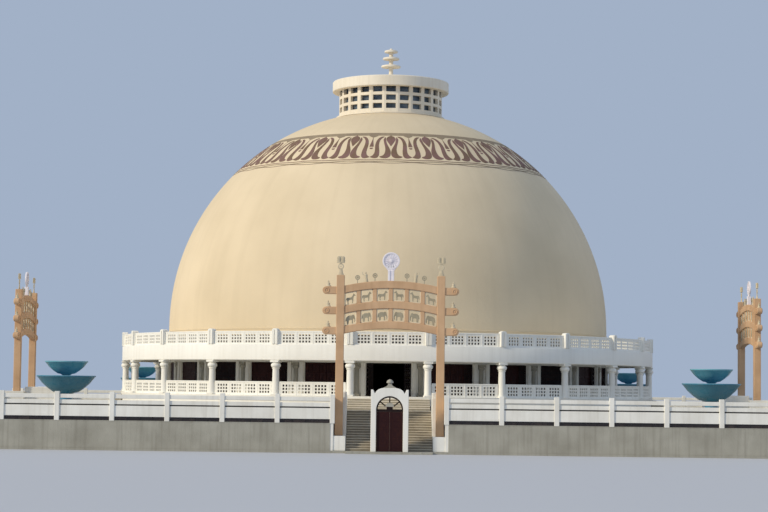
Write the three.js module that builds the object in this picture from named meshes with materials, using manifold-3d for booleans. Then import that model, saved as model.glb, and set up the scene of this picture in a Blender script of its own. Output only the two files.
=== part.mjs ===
// A domed stupa on a square podium, as a 1:2 model. Millimetres, +Z up.
// The origin is on the dome's axis at ground level, and the front faces -Y.
import * as THREE from 'three';
import Module from 'manifold-3d';
import { mergeVertices } from 'three/addons/utils/BufferGeometryUtils.js';

const wasm = await Module();
wasm.setup();

// Scale: real() turns metres of the real building into millimetres of the model.
const MODEL_SCALE = 1 / 2;
const real = (metres) => metres * 1000 * MODEL_SCALE;

// Gaps, in millimetres of the model.
const SEAT = 0.3;
const LAP = 4;

// Levels above the ground.
const FLOOR_TOP = real(0.15);
const RIBBON_SILL = real(1.93);
const RIBBON_HEAD = real(2.19);
const TERRACE = real(2.83);
const PARAPET_TOP = real(3.77);
const PARAPET_POST_TOP = real(3.95);
const VERANDAH_FLOOR = real(3.79);
const OPENING_HEAD = real(6.28);
const FASCIA_BOTTOM = real(6.36);
const FASCIA_TOP = real(7.56);
const DOME_SPRING = real(9.33);
const DRUM_BASE = real(27.08);
const CAP_SOFFIT = real(29.32);
const CAP_TOP = real(30.28);

// Podium: a square block with a recessed stair in the middle of each side.
const PODIUM_HALF = real(32.15);
const WALL = real(0.3);
const POST_WIDTH = real(0.31);
const POST_PITCH = real(3.73);
const FIRST_POST = real(3.87);
const BAYS = 7;
const RECESS_SIDE = real(3.80);
const RECESS_DEPTH = real(2.05);
const CHEEK_INNER = real(2.95);
const CHEEK = real(0.3);
const SLAB = real(0.22);
const RETURN_THICK = real(0.225);

// Stairs, the same on all four sides.
const TREAD = real(0.3);
const LOWER_RISERS = 16;
const LOWER_FOOT = PODIUM_HALF - TREAD;
const WAIST = real(0.2);
const UPPER_STEPS = 5;
const UPPER_HALF_WIDTH = real(3.0);
const UPPER_RISER = (VERANDAH_FLOOR - TERRACE) / (UPPER_STEPS + 1);

// Rings around the axis: 24 bays of 15 degrees, with a column at each corner.
const BAY_ANGLE = 15;
const HALF_BAY = BAY_ANGLE / 2;
const QUADRANT_BAYS = [-30, -15, 0, 15, 30, 45];
const QUADRANT_START = -37.5;
const QUADRANT_END = 52.5;
const RING_SIDES = 360 / BAY_ANGLE;
const DOME_SIDES = 2 * RING_SIDES;
const DOME_STEPS = { outer: 8, inner: 6 };
const CUT_REACH = real(0.9);
const DOME_RADIUS = real(18.29);
const DOME_WALL = real(0.4);
const DOME_SHELL = real(0.3);
const OPENING_WIDTH = real(3.37);
const VERANDAH_RADIUS = real(22.1);
const COLUMN_CIRCLE = real(21.8);
const KERB = real(0.32);
const RING_BEAM_INNER = real(21.5);
const BALUSTRADE_THICK = real(0.14);
const LOWER_RAIL_TOP = real(4.80);
const LOWER_HOLE = [real(3.96), real(4.58)];
const UPPER_RAIL_TOP = real(8.53);
const UPPER_HOLE = [real(7.69), real(8.29)];
const UPPER_POST = real(0.46);
const UPPER_POST_TOP = real(8.72);
const UPPER_BALUSTRADE_INSET = real(0.22);
const LOWER_RAIL_END = real(0.1);
const UPPER_RAIL_END = real(0.35);
const ROOF_SLAB = real(0.2);
const RADIAL_BEAM = real(0.3);
const RADIAL_BEAM_DEPTH = real(0.7);
const RADIAL_BEAM_CLEAR = real(0.05);

// Columns, from the floor up: radius and height above the verandah floor, in metres.
const COLUMN_FOOT = 0.31;
const COLUMN_HEAD = 0.34;
const COLUMN_PROFILE = [
  [0, 0], [COLUMN_FOOT, 0], [COLUMN_FOOT, 0.13], [0.27, 0.13],
  [0.245, 2.02], [0.37, 2.16], [COLUMN_HEAD, 2.40],
];
const COLUMN_SIDES = 8;
const COLUMN_DOWEL = real(0.2);

// Lantern drum, cap and umbrella mast on top of the dome.
const DRUM_RADIUS = real(4.37);
const DRUM_WALL = real(0.3);
const DRUM_OPENING = real(0.8);
const DRUM_SILL = real(27.49);
const DRUM_HEAD = real(29.22);
const GLASS = real(0.04);
const CAP_RADIUS = real(4.92);
const CAP_DECK = real(0.3);
const CAP_EDGE = real(0.12);
const CAP_RIM_INNER = real(3.89);
const MAST_RADIUS = real(0.17);
const MAST_TOP = real(33.17);
const MAST_TIP = { radius: real(0.08), height: real(0.1) };
const MAST_FOOT = { radius: real(0.42), waist: real(0.3), waistLevel: real(0.35), top: real(0.8) };
const DISCS = [
  { name: 'lower_umbrella_disc', level: real(31.6), radius: real(0.83) },
  { name: 'middle_umbrella_disc', level: real(32.27), radius: real(0.70) },
  { name: 'upper_umbrella_disc', level: real(32.88), radius: real(0.57) },
];
const DISC_HALF_THICKNESS = real(0.17);
const DISC_SHOULDER = 0.8;
const DISC_CROWN = 0.7;
const MAST_COLLAR = real(0.26);
const MAST_COLLAR_HEIGHT = real(0.1);
const MAST_SIDES = 12;

// Toranas: gateways of two square pillars and three arched beams.
const TORANA_DISTANCE = real(30.45);
const PILLAR_OFFSET = real(3.46);
const PILLAR = real(0.55);
const PILLAR_BASE = real(1.15);
const PILLAR_TOP = real(12.15);
const PEDESTAL_FRONT = PODIUM_HALF - real(0.1);
const BEAM_LEVELS = [real(8.32), real(9.71), real(11.10)];
const BEAM_HEIGHT = real(0.52);
const BEAM_DEPTH = real(0.42);
const BEAM_HALF_LENGTH = real(4.70);
const BEAM_RISE = real(0.43);
const BEAM_STEPS = 6;
const PANEL_PITCH = real(1.06);
const UPRIGHT_WIDTH = real(0.28);
const UPRIGHT_DEPTH = real(0.3);
const FINIAL_HEIGHT = real(1.2);
const FINIAL_WIDTH = real(0.42);
const WHEEL_RADIUS = real(0.6);
const WHEEL_LEVEL = real(13.17);
const WHEEL_THICK = real(0.14);
const WHEEL_SIDES = 20;
const WHEEL_STAND = { width: real(0.5), depth: real(0.3), reach: 0.8 };
const FIGURE = { width: real(0.3), depth: real(0.3), height: real(0.5) };
const STATUE = { offset: real(1.68), height: real(0.7), sink: real(0.1) };
const END_FIGURE_OFFSET = real(4.3);

// Arch gate at the foot of the front stair, with two hinged leaves.
const GATE_FRONT = real(33.05);
const GATE_DEPTH = real(0.45);
const GATE_HALF = real(1.27);
const GATE_OPENING_HALF = real(0.91);
const GATE_SPRING = real(2.98);
const GATE_SHOULDER = real(4.32);
const GATE_ARCH_TOP = real(4.42);
const GATE_FINIAL_TOP = real(5.03);
const GATE_HORN = real(0.06);
const GATE_NOTCH = { x: real(1.05), level: real(4.04) };
const GATE_CROWN = { x: real(0.62), level: GATE_ARCH_TOP - real(0.02) };
const GATE_NECK = { foot: real(0.17), waist: real(0.11), waistLevel: GATE_ARCH_TOP + real(0.22) };
const GATE_BOWL = { half: real(0.2), top: real(0.12), level: GATE_FINIAL_TOP - real(0.16) };
const STEP_FRONT = real(33.15);
const LEAF_THICK = 30;
const LEAF_GAP = 11;
const LEAF_MEETING_GAP = 8;
const LEAF_FLOOR_GAP = 10;
const LEAF_FRONT = GATE_FRONT - real(0.14);
const PIVOT_INSET = 16;
const PIVOT_RADIUS = 9;
const PIVOT_SIDES = 12;
const FANLIGHT_BAR = real(0.06);
const FANLIGHT_DEPTH = real(0.08);
const FANLIGHT_ANGLES = [40, 90, 140];
const HUB_RADIUS = real(0.3);
const HUB_STEPS = 6;
const BAR_START = real(0.2);
const TRANSOM = real(0.12);
const ARCH_STEPS = 12;

// Fountains: a pair of bowls on a stem at each corner of the terrace.
const FOUNTAIN_OFFSET = real(23.3);
const FOUNTAIN_SIDES = 12;
const FOUNTAIN_PROFILE = [
  [0, 2.83], [0.5, 2.83], [0.5, 3.75], [0.95, 3.86], [2.12, 5.04],
  [2.02, 5.04], [0.9, 4.0], [0.35, 3.9], [0.3, 5.15], [0.66, 5.18], [1.54, 6.08],
  [1.45, 6.08], [0.6, 5.3], [0, 5.28],
];

// Finishes.
const PALETTE = {
  cream_plaster: { color: 0xe6d2a6, roughness: 0.85 },
  white_paint: { color: 0xf4efe4, roughness: 0.7 },
  grey_plaster: { color: 0xa9a8a4, roughness: 0.9 },
  step_stone: { color: 0xd8c8a4, roughness: 0.8 },
  sandstone: { color: 0xc8a37f, roughness: 0.8 },
  door_paint: { color: 0x3b1e1e, roughness: 0.5 },
  dark_glass: { color: 0x3a4550, roughness: 0.15 },
  blue_bowl: { color: 0x3f7f90, roughness: 0.5 },
};

const stupa = new THREE.Group();
const SIDES = ['front', 'right', 'back', 'left'];
const CORNERS = ['front_right', 'back_right', 'back_left', 'front_left'];

// Adds one named piece to the stupa, turned by quarter turns about the axis.
function addPiece(name, geometry, finish, quarterTurns = 0) {
  const material = new THREE.MeshStandardMaterial({ ...PALETTE[finish], metalness: 0 });
  const mesh = new THREE.Mesh(geometry, material);
  mesh.name = name;
  mesh.rotation.z = quarterTurns * Math.PI / 2;
  stupa.add(mesh);
  return mesh;
}

// Adds the same piece on all four sides.
function addOnEachSide(name, geometry, finish) {
  SIDES.forEach((side, turns) => addPiece(`${side}_${name}`, geometry, finish, turns));
}

// Adds the same piece at all four corners.
function addOnEachCorner(name, geometry, finish) {
  CORNERS.forEach((place, turns) => addPiece(`${place}_${name}`, geometry, finish, turns));
}

// A point in plan: the angle runs from the front (-Y) towards the right (+X).
function polar(radius, degrees) {
  const angle = THREE.MathUtils.degToRad(degrees);
  return [radius * Math.sin(angle), -radius * Math.cos(angle)];
}

function block(x0, x1, y0, y1, z0, z1) {
  const geometry = new THREE.BoxGeometry(x1 - x0, y1 - y0, z1 - z0);
  geometry.translate((x0 + x1) / 2, (y0 + y1) / 2, (z0 + z1) / 2);
  return geometry;
}

const toVectors = (points) => points.map(([x, y]) => new THREE.Vector2(x, y));

// An outline in plan, raised from one level to another, with a hole through it if one is given.
function planPrism(points, z0, z1, hole = null) {
  const shape = new THREE.Shape(toVectors(points));
  if (hole) {
    shape.holes.push(new THREE.Path(toVectors(hole)));
  }
  const geometry = new THREE.ExtrudeGeometry(shape, { depth: z1 - z0, bevelEnabled: false });
  geometry.translate(0, 0, z0);
  return geometry;
}

// A shape in elevation (x, z), made thick from y = front to y = back.
function elevationPrism(shape, front, back, curveSegments = 6) {
  const settings = { depth: back - front, bevelEnabled: false, curveSegments };
  const geometry = new THREE.ExtrudeGeometry(shape, settings);
  geometry.rotateX(Math.PI / 2);
  geometry.translate(0, back, 0);
  return geometry;
}

// A side profile (y, z), made wide from x = -halfWidth to x = halfWidth.
function profilePrism(points, halfWidth) {
  const shape = new THREE.Shape(toVectors(points));
  const geometry = new THREE.ExtrudeGeometry(shape, { depth: 2 * halfWidth, bevelEnabled: false });
  geometry.translate(0, 0, -halfWidth);
  const axes = new THREE.Matrix4().makeBasis(
    new THREE.Vector3(0, 1, 0), new THREE.Vector3(0, 0, 1), new THREE.Vector3(1, 0, 0),
  );
  return geometry.applyMatrix4(axes);
}

// A turned profile of [radius, height] points, about the Z axis.
function turned(points, sides) {
  const geometry = new THREE.LatheGeometry(toVectors(points), sides);
  geometry.rotateX(Math.PI / 2);
  return geometry;
}

const rectangle = (x0, x1, z0, z1) => toVectors([[x0, z0], [x1, z0], [x1, z1], [x0, z1]]);

// Booleans: a closed geometry becomes a solid, and a solid becomes a geometry again.
function toSolid(geometry) {
  const bare = geometry.clone();
  bare.deleteAttribute('normal');
  bare.deleteAttribute('uv');
  const merged = mergeVertices(bare);
  const corners = [];
  for (let i = 0; i < merged.index.count; i += 3) {
    const [a, b, c] = [0, 1, 2].map((k) => merged.index.getX(i + k));
    if (a !== b && b !== c && c !== a) {
      corners.push(a, b, c);
    }
  }
  return new wasm.Manifold(new wasm.Mesh({
    numProp: 3,
    vertProperties: merged.attributes.position.array,
    triVerts: new Uint32Array(corners),
  }));
}

function toGeometry(solid) {
  const mesh = solid.getMesh();
  const geometry = new THREE.BufferGeometry();
  const places = Float32Array.from(mesh.vertProperties);
  geometry.setAttribute('position', new THREE.BufferAttribute(places, 3));
  geometry.setIndex(new THREE.BufferAttribute(Uint32Array.from(mesh.triVerts), 1));
  geometry.computeVertexNormals();
  return geometry;
}

function joined(geometries) {
  const solids = geometries.map(toSolid);
  return toGeometry(solids.reduce((whole, piece) => whole.add(piece)));
}

function cut(geometry, holes) {
  const solids = holes.map(toSolid);
  return toGeometry(solids.reduce((whole, hole) => whole.subtract(hole), toSolid(geometry)));
}

// A quarter of a ring with straight sides, and with half a seat's gap at both ends.
function ringSector(inner, outer, z0, z1, innerStep = HALF_BAY, outerStep = innerStep) {
  const arc = (radius, step) => {
    const count = Math.round((QUADRANT_END - QUADRANT_START) / step);
    const trim = THREE.MathUtils.radToDeg(SEAT / 2 / radius);
    return Array.from({ length: count + 1 }, (_, i) => {
      const nudge = i === 0 ? trim : i === count ? -trim : 0;
      return polar(radius, QUADRANT_START + i * step + nudge);
    });
  };
  return planPrism([...arc(outer, outerStep), ...arc(inner, innerStep).reverse()], z0, z1);
}

// A whole ring or disc with straight sides and its corners at the given first angle.
function ringPoints(radius, sides, first) {
  return Array.from({ length: sides }, (_, i) => polar(radius, first + i * 360 / sides));
}

function wholeRing(inner, outer, z0, z1, sides, first) {
  return planPrism(ringPoints(outer, sides, first), z0, z1, ringPoints(inner, sides, first));
}

const turnedBy = (geometry, degrees) => geometry.rotateZ(THREE.MathUtils.degToRad(degrees));

// The podium's ground floor slab, with a doorstep under the arch gate.
function podiumFloor() {
  const outline = [
    [-PODIUM_HALF, -PODIUM_HALF], [-CHEEK_INNER, -PODIUM_HALF],
    [-CHEEK_INNER, -STEP_FRONT], [CHEEK_INNER, -STEP_FRONT],
    [CHEEK_INNER, -PODIUM_HALF], [PODIUM_HALF, -PODIUM_HALF],
    [PODIUM_HALF, PODIUM_HALF], [-PODIUM_HALF, PODIUM_HALF],
  ];
  return planPrism(outline, 0, FLOOR_TOP);
}

// Half of one side of the podium: a wall with a row of ribbon windows under a solid parapet,
// and the returns beside the stair. handed is 1 for the right half and -1 for the left half.
function podiumHalfSide(handed) {
  const bottom = FLOOR_TOP + SEAT;
  const posts = Array.from({ length: BAYS + 1 }, (_, i) => FIRST_POST + i * POST_PITCH);
  posts.push(PODIUM_HALF - POST_WIDTH / 2);
  const half = POST_WIDTH / 2;
  const sided = (x0, x1, y0, y1, z0, z1) => {
    const [left, right] = handed > 0 ? [x0, x1] : [-x1, -x0];
    return block(left, right, y0, y1, z0, z1);
  };
  const front = -PODIUM_HALF;
  const panel = sided(FIRST_POST - half, PODIUM_HALF, front, front + WALL, bottom, PARAPET_TOP);
  const windows = posts.slice(1).map((x, i) => sided(
    posts[i] + half, x - half, front - LAP, front + WALL + LAP, RIBBON_SILL, RIBBON_HEAD,
  ));
  const heads = posts.map((x) => sided(
    x - half, x + half, front, front + WALL, PARAPET_TOP - LAP, PARAPET_POST_TOP,
  ));
  const back = front + RECESS_DEPTH;
  const landing = -LOWER_FOOT + LOWER_RISERS * TREAD;
  const outer = RECESS_SIDE + RETURN_THICK;
  return [
    cut(panel, windows),
    ...heads,
    sided(RECESS_SIDE, outer, front + LAP, back + CHEEK, bottom, PARAPET_TOP),
    sided(CHEEK_INNER, outer - LAP, back, back + CHEEK - LAP, bottom, PARAPET_TOP),
    sided(CHEEK_INNER, CHEEK_INNER + CHEEK, back + LAP, landing, bottom, PARAPET_TOP),
    sided(CHEEK_INNER, RECESS_SIDE + LAP, -PEDESTAL_FRONT, back + LAP, bottom, PILLAR_BASE),
  ];
}

function podiumCorner() {
  const besideFront = podiumHalfSide(1);
  const besideRight = podiumHalfSide(-1).map((geometry) => geometry.rotateZ(Math.PI / 2));
  return joined([...besideFront, ...besideRight]);
}

// The terrace: a square slab inside the podium walls, cut back at the stairs, round the dome wall.
function terraceSlab() {
  const edge = PODIUM_HALF - WALL - SEAT;
  const jog = PODIUM_HALF - RECESS_DEPTH - CHEEK - SEAT;
  const landing = LOWER_FOOT - LOWER_RISERS * TREAD - SEAT;
  const wide = RECESS_SIDE + RETURN_THICK + SEAT;
  const narrow = CHEEK_INNER + CHEEK + SEAT;
  const side = [
    [-edge, -edge], [-wide, -edge], [-wide, -jog], [-narrow, -jog], [-narrow, -landing],
    [narrow, -landing], [narrow, -jog], [wide, -jog], [wide, -edge],
  ];
  const quarter = ([x, y]) => [-y, x];
  const outline = [];
  let points = side;
  for (let turns = 0; turns < 4; turns += 1) {
    outline.push(...points);
    points = points.map(quarter);
  }
  const hole = ringPoints(DOME_RADIUS + SEAT, DOME_SIDES, HALF_BAY);
  return planPrism(outline, TERRACE - SLAB, TERRACE, hole);
}

// The lower flight, from the doorstep level up to the terrace, with a sloping soffit.
function lowerFlight() {
  const riser = (TERRACE - FLOOR_TOP - SEAT) / LOWER_RISERS;
  const bottom = FLOOR_TOP + SEAT;
  const foot = -LOWER_FOOT;
  const profile = [[foot, bottom]];
  for (let i = 1; i <= LOWER_RISERS; i += 1) {
    profile.push([foot + (i - 1) * TREAD, bottom + i * riser], [foot + i * TREAD, bottom + i * riser]);
  }
  const end = foot + LOWER_RISERS * TREAD;
  const slope = riser / TREAD;
  const soffitStart = foot + (riser + WAIST) / slope;
  const backWall = end - WAIST;
  const soffitEnd = bottom + (backWall - soffitStart) * slope;
  profile.push([end, bottom], [backWall, bottom], [backWall, soffitEnd], [soffitStart, bottom]);
  return profilePrism(profile, CHEEK_INNER - SEAT);
}

// The upper flight: solid steps on the terrace in front of the verandah's kerb.
function upperFlight() {
  const back = -VERANDAH_RADIUS * Math.cos(THREE.MathUtils.degToRad(HALF_BAY)) - SEAT;
  const foot = back - UPPER_STEPS * TREAD;
  const bottom = TERRACE + SEAT;
  const profile = [[foot, bottom]];
  for (let i = 1; i <= UPPER_STEPS; i += 1) {
    const level = TERRACE + i * UPPER_RISER;
    profile.push([foot + (i - 1) * TREAD, level], [foot + i * TREAD, level]);
  }
  profile.push([back, bottom]);
  return profilePrism(profile, UPPER_HALF_WIDTH);
}

// A quarter of the round wall under the dome, with six tall openings onto the verandah.
function domeWall() {
  const wall = ringSector(DOME_RADIUS - DOME_WALL, DOME_RADIUS, FLOOR_TOP + SEAT, DOME_SPRING);
  const holes = QUADRANT_BAYS.map((angle) => {
    const half = OPENING_WIDTH / 2;
    const front = -DOME_RADIUS - CUT_REACH;
    const hole = block(-half, half, front, front + 2 * CUT_REACH, VERANDAH_FLOOR, OPENING_HEAD);
    return turnedBy(hole, angle);
  });
  return cut(wall, holes);
}

// A panel of wall between two corners of a ring, with one long opening under its rail.
function railedBay(circle, trimStart, trimEnd, z0, z1, hole, margin) {
  const halfAngle = THREE.MathUtils.degToRad(HALF_BAY);
  const halfLength = circle * Math.sin(halfAngle);
  const distance = circle * Math.cos(halfAngle);
  const left = -halfLength + trimStart;
  const right = halfLength - trimEnd;
  const shape = new THREE.Shape(rectangle(left, right, z0, z1));
  shape.holes.push(new THREE.Path(rectangle(left + margin, right - margin, hole[0], hole[1])));
  return elevationPrism(shape, -distance - BALUSTRADE_THICK / 2, -distance + BALUSTRADE_THICK / 2);
}

// A quarter of the verandah's plinth: floor, kerb and the balustrade between the columns.
// The bay in the middle has no balustrade, because the stair comes up there.
function verandahPlinth() {
  const inner = DOME_RADIUS + SEAT * 2;
  const floor = ringSector(
    inner, VERANDAH_RADIUS, VERANDAH_FLOOR - ROOF_SLAB, VERANDAH_FLOOR, HALF_BAY, BAY_ANGLE,
  );
  const kerb = ringSector(
    VERANDAH_RADIUS - KERB, VERANDAH_RADIUS, TERRACE + SEAT, VERANDAH_FLOOR - LAP, BAY_ANGLE,
  );
  const clear = real(COLUMN_FOOT) + SEAT;
  const bays = QUADRANT_BAYS.filter((angle) => angle !== 0).map((angle) => {
    const bay = railedBay(
      COLUMN_CIRCLE, clear, clear, VERANDAH_FLOOR - LAP, LOWER_RAIL_TOP, LOWER_HOLE, LOWER_RAIL_END,
    );
    return turnedBy(bay, angle);
  });
  return joined([floor, kerb, ...bays]);
}

// Six columns under a quarter of the deep ring beam.
function colonnade() {
  const beam = ringSector(RING_BEAM_INNER, VERANDAH_RADIUS, FASCIA_BOTTOM, FASCIA_TOP, BAY_ANGLE);
  const height = (FASCIA_BOTTOM - SEAT - VERANDAH_FLOOR) / real(1);
  const profile = [...COLUMN_PROFILE, [COLUMN_HEAD, height], [0, height]];
  const dowel = COLUMN_DOWEL;
  const columns = QUADRANT_BAYS.map((angle) => {
    const column = turned(profile.map(([r, h]) => [real(r), h === 0 ? SEAT : real(h)]), COLUMN_SIDES);
    column.translate(0, 0, VERANDAH_FLOOR);
    const head = block(LAP, dowel, -dowel, dowel, FASCIA_BOTTOM - 2 * LAP, FASCIA_BOTTOM + LAP);
    const whole = joined([column, head]);
    const [x, y] = polar(COLUMN_CIRCLE, angle - HALF_BAY);
    turnedBy(whole, angle - HALF_BAY);
    return whole.translate(x, y, 0);
  });
  return joined([beam, ...columns]);
}

// A quarter of the verandah's roof: a slab on six radial beams.
function verandahRoof() {
  const inner = DOME_RADIUS + SEAT * 2;
  const outer = RING_BEAM_INNER - SEAT * 2;
  const slab = ringSector(inner, outer, FASCIA_TOP - ROOF_SLAB, FASCIA_TOP, HALF_BAY, BAY_ANGLE);
  const half = RADIAL_BEAM / 2;
  const bottom = FASCIA_TOP - ROOF_SLAB - RADIAL_BEAM_DEPTH;
  const beams = QUADRANT_BAYS.slice(1).map((angle) => {
    const [front, back] = [-outer + RADIAL_BEAM_CLEAR, -inner - RADIAL_BEAM_CLEAR];
    const beam = block(-half, half, front, back, bottom, FASCIA_TOP - LAP);
    return turnedBy(beam, angle - HALF_BAY);
  });
  return joined([slab, ...beams]);
}

// A quarter of the roof's balustrade: six posts and the railed bays between them.
function upperBalustrade() {
  const circle = VERANDAH_RADIUS - UPPER_BALUSTRADE_INSET;
  const bottom = FASCIA_TOP + SEAT;
  const half = UPPER_POST / 2;
  const lean = THREE.MathUtils.degToRad(HALF_BAY);
  const clearOfNextPost = (half + SEAT + BALUSTRADE_THICK / 2 * Math.sin(lean)) / Math.cos(lean);
  const pieces = QUADRANT_BAYS.flatMap((angle, i) => {
    const last = i === QUADRANT_BAYS.length - 1;
    const bay = railedBay(
      circle, 0, last ? clearOfNextPost : 0, bottom, UPPER_RAIL_TOP, UPPER_HOLE, UPPER_RAIL_END,
    );
    const [x, y] = polar(circle, angle - HALF_BAY);
    const post = block(-half, half, -half, half, bottom, UPPER_POST_TOP);
    turnedBy(post, angle - HALF_BAY);
    return [turnedBy(bay, angle), post.translate(x, y, 0)];
  });
  return joined(pieces);
}

// A quarter of the dome's shell, open at the top under the lantern.
function domeShell() {
  const arcPoints = (radius, steps) => {
    const last = Math.asin((DRUM_BASE - DOME_SPRING) / radius);
    return Array.from({ length: steps + 1 }, (_, i) => {
      const lift = last * i / steps;
      const rise = radius * Math.sin(lift) * (1 - SEAT / DOME_RADIUS);
      return [radius * Math.cos(lift), DOME_SPRING + SEAT + rise];
    });
  };
  const outer = arcPoints(DOME_RADIUS, DOME_STEPS.outer);
  const inner = arcPoints(DOME_RADIUS - DOME_SHELL, DOME_STEPS.inner).reverse();
  const shell = turned([...outer, ...inner, outer[0]], DOME_SIDES);
  const quarter = ringSector(CUT_REACH, DOME_RADIUS + 3 * CUT_REACH, 0, CAP_SOFFIT, BAY_ANGLE);
  return toGeometry(toSolid(turnedBy(shell, HALF_BAY)).intersect(toSolid(quarter)));
}

// The lantern drum: a ring of mullions between a kerb and a head.
function drum() {
  const ring = wholeRing(
    DRUM_RADIUS - DRUM_WALL, DRUM_RADIUS, DRUM_BASE + SEAT, CAP_SOFFIT - SEAT, RING_SIDES, HALF_BAY,
  );
  const half = DRUM_OPENING / 2;
  const front = -DRUM_RADIUS - CUT_REACH;
  const holes = Array.from({ length: RING_SIDES }, (_, i) => {
    const hole = block(-half, half, front, front + 2 * CUT_REACH, DRUM_SILL, DRUM_HEAD);
    return turnedBy(hole, i * BAY_ANGLE);
  });
  return cut(ring, holes);
}

function drumGlazing() {
  const outer = DRUM_RADIUS - DRUM_WALL - SEAT * 2;
  return wholeRing(outer - GLASS, outer, DRUM_BASE + SEAT, CAP_SOFFIT - SEAT, RING_SIDES, HALF_BAY);
}

// The cap: a thin roof with a deep rim that stands out over the drum.
function drumCap() {
  const deck = CAP_TOP - CAP_DECK;
  return turned([
    [0, deck], [CAP_RIM_INNER, deck], [CAP_RIM_INNER, CAP_SOFFIT], [CAP_RADIUS, CAP_SOFFIT],
    [CAP_RADIUS, CAP_TOP - CAP_EDGE], [CAP_RADIUS - CAP_EDGE, CAP_TOP - CAP_EDGE / 2], [0, CAP_TOP],
  ], RING_SIDES);
}

// The mast: flared at its foot, with a collar under each disc.
function umbrellaMast() {
  const base = CAP_TOP + SEAT;
  const points = [
    [0, base], [MAST_FOOT.radius, base], [MAST_FOOT.waist, CAP_TOP + MAST_FOOT.waistLevel],
    [MAST_RADIUS, CAP_TOP + MAST_FOOT.top],
  ];
  for (const disc of DISCS) {
    const top = disc.level - DISC_HALF_THICKNESS / 2 - SEAT;
    points.push([MAST_RADIUS, top - MAST_COLLAR_HEIGHT], [MAST_COLLAR, top], [MAST_RADIUS, top]);
  }
  points.push([MAST_RADIUS, MAST_TOP - MAST_TIP.height], [MAST_TIP.radius, MAST_TOP], [0, MAST_TOP]);
  return turned(points, MAST_SIDES);
}

// An umbrella disc: a lens with a hole for the mast.
function umbrellaDisc(disc) {
  const inner = MAST_RADIUS + SEAT;
  const half = DISC_HALF_THICKNESS;
  const shoulder = disc.radius * DISC_SHOULDER;
  return turned([
    [inner, disc.level - half / 2], [shoulder, disc.level - half / 2], [disc.radius, disc.level],
    [shoulder, disc.level + half * DISC_CROWN], [inner, disc.level + half],
    [inner, disc.level - half / 2],
  ], MAST_SIDES);
}

// The line of a torana's beam: level at both ends, arched between the pillars.
function beamLine(x) {
  const span = PILLAR_OFFSET;
  return Math.abs(x) >= span ? 0 : BEAM_RISE * (1 - (x / span) ** 2);
}

function toranaBeam(level) {
  const half = BEAM_HEIGHT / 2;
  const count = BEAM_STEPS + 1;
  const arched = Array.from({ length: count }, (_, i) => PILLAR_OFFSET * (2 * i / BEAM_STEPS - 1));
  const straight = BEAM_HALF_LENGTH - half;
  const shape = new THREE.Shape();
  shape.moveTo(-straight, level - half);
  arched.forEach((x) => shape.lineTo(x, level + beamLine(x) - half));
  shape.lineTo(straight, level - half);
  shape.absarc(straight, level, half, -Math.PI / 2, Math.PI / 2, false);
  arched.reverse().forEach((x) => shape.lineTo(x, level + beamLine(x) + half));
  shape.lineTo(-straight, level + half);
  shape.absarc(-straight, level, half, Math.PI / 2, 3 * Math.PI / 2, false);
  const front = -TORANA_DISTANCE - BEAM_DEPTH / 2;
  return elevationPrism(shape, front, front + BEAM_DEPTH, 2);
}

// A torana: pillars, arched beams, the uprights between them, a wheel, finials and small figures.
function torana() {
  const centre = -TORANA_DISTANCE;
  const post = (x, width, depth, z0, z1) => block(
    x - width / 2, x + width / 2, centre - depth / 2, centre + depth / 2, z0, z1,
  );
  const pieces = BEAM_LEVELS.map(toranaBeam);
  const top = BEAM_LEVELS[2] + BEAM_HEIGHT / 2;
  for (const side of [-1, 1]) {
    pieces.push(post(side * PILLAR_OFFSET, PILLAR, PILLAR, PILLAR_BASE + SEAT, PILLAR_TOP));
    const finialTop = PILLAR_TOP + FINIAL_HEIGHT;
    pieces.push(post(side * PILLAR_OFFSET, FINIAL_WIDTH, FINIAL_WIDTH, PILLAR_TOP - LAP, finialTop));
    for (const level of BEAM_LEVELS) {
      const seat = level + BEAM_HEIGHT / 2;
      const place = side * END_FIGURE_OFFSET;
      pieces.push(post(place, FIGURE.width, FIGURE.depth, seat - LAP, seat + FIGURE.height));
    }
    const seat = top + beamLine(STATUE.offset);
    const place = side * STATUE.offset;
    pieces.push(post(place, FIGURE.width, FIGURE.depth, seat - STATUE.sink, seat + STATUE.height));
  }
  for (let row = 0; row < 2; row += 1) {
    for (let i = -2; i <= 2; i += 1) {
      const x = i * PANEL_PITCH;
      const [foot, head] = [BEAM_LEVELS[row] + beamLine(x), BEAM_LEVELS[row + 1] + beamLine(x)];
      pieces.push(post(x, UPRIGHT_WIDTH, UPRIGHT_DEPTH, foot, head));
    }
  }
  const standTop = WHEEL_LEVEL - WHEEL_RADIUS * WHEEL_STAND.reach;
  pieces.push(post(0, WHEEL_STAND.width, WHEEL_STAND.depth, top, standTop));
  const wheel = new THREE.CylinderGeometry(WHEEL_RADIUS, WHEEL_RADIUS, WHEEL_THICK, WHEEL_SIDES);
  pieces.push(wheel.translate(0, centre, WHEEL_LEVEL));
  return joined(pieces);
}

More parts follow.
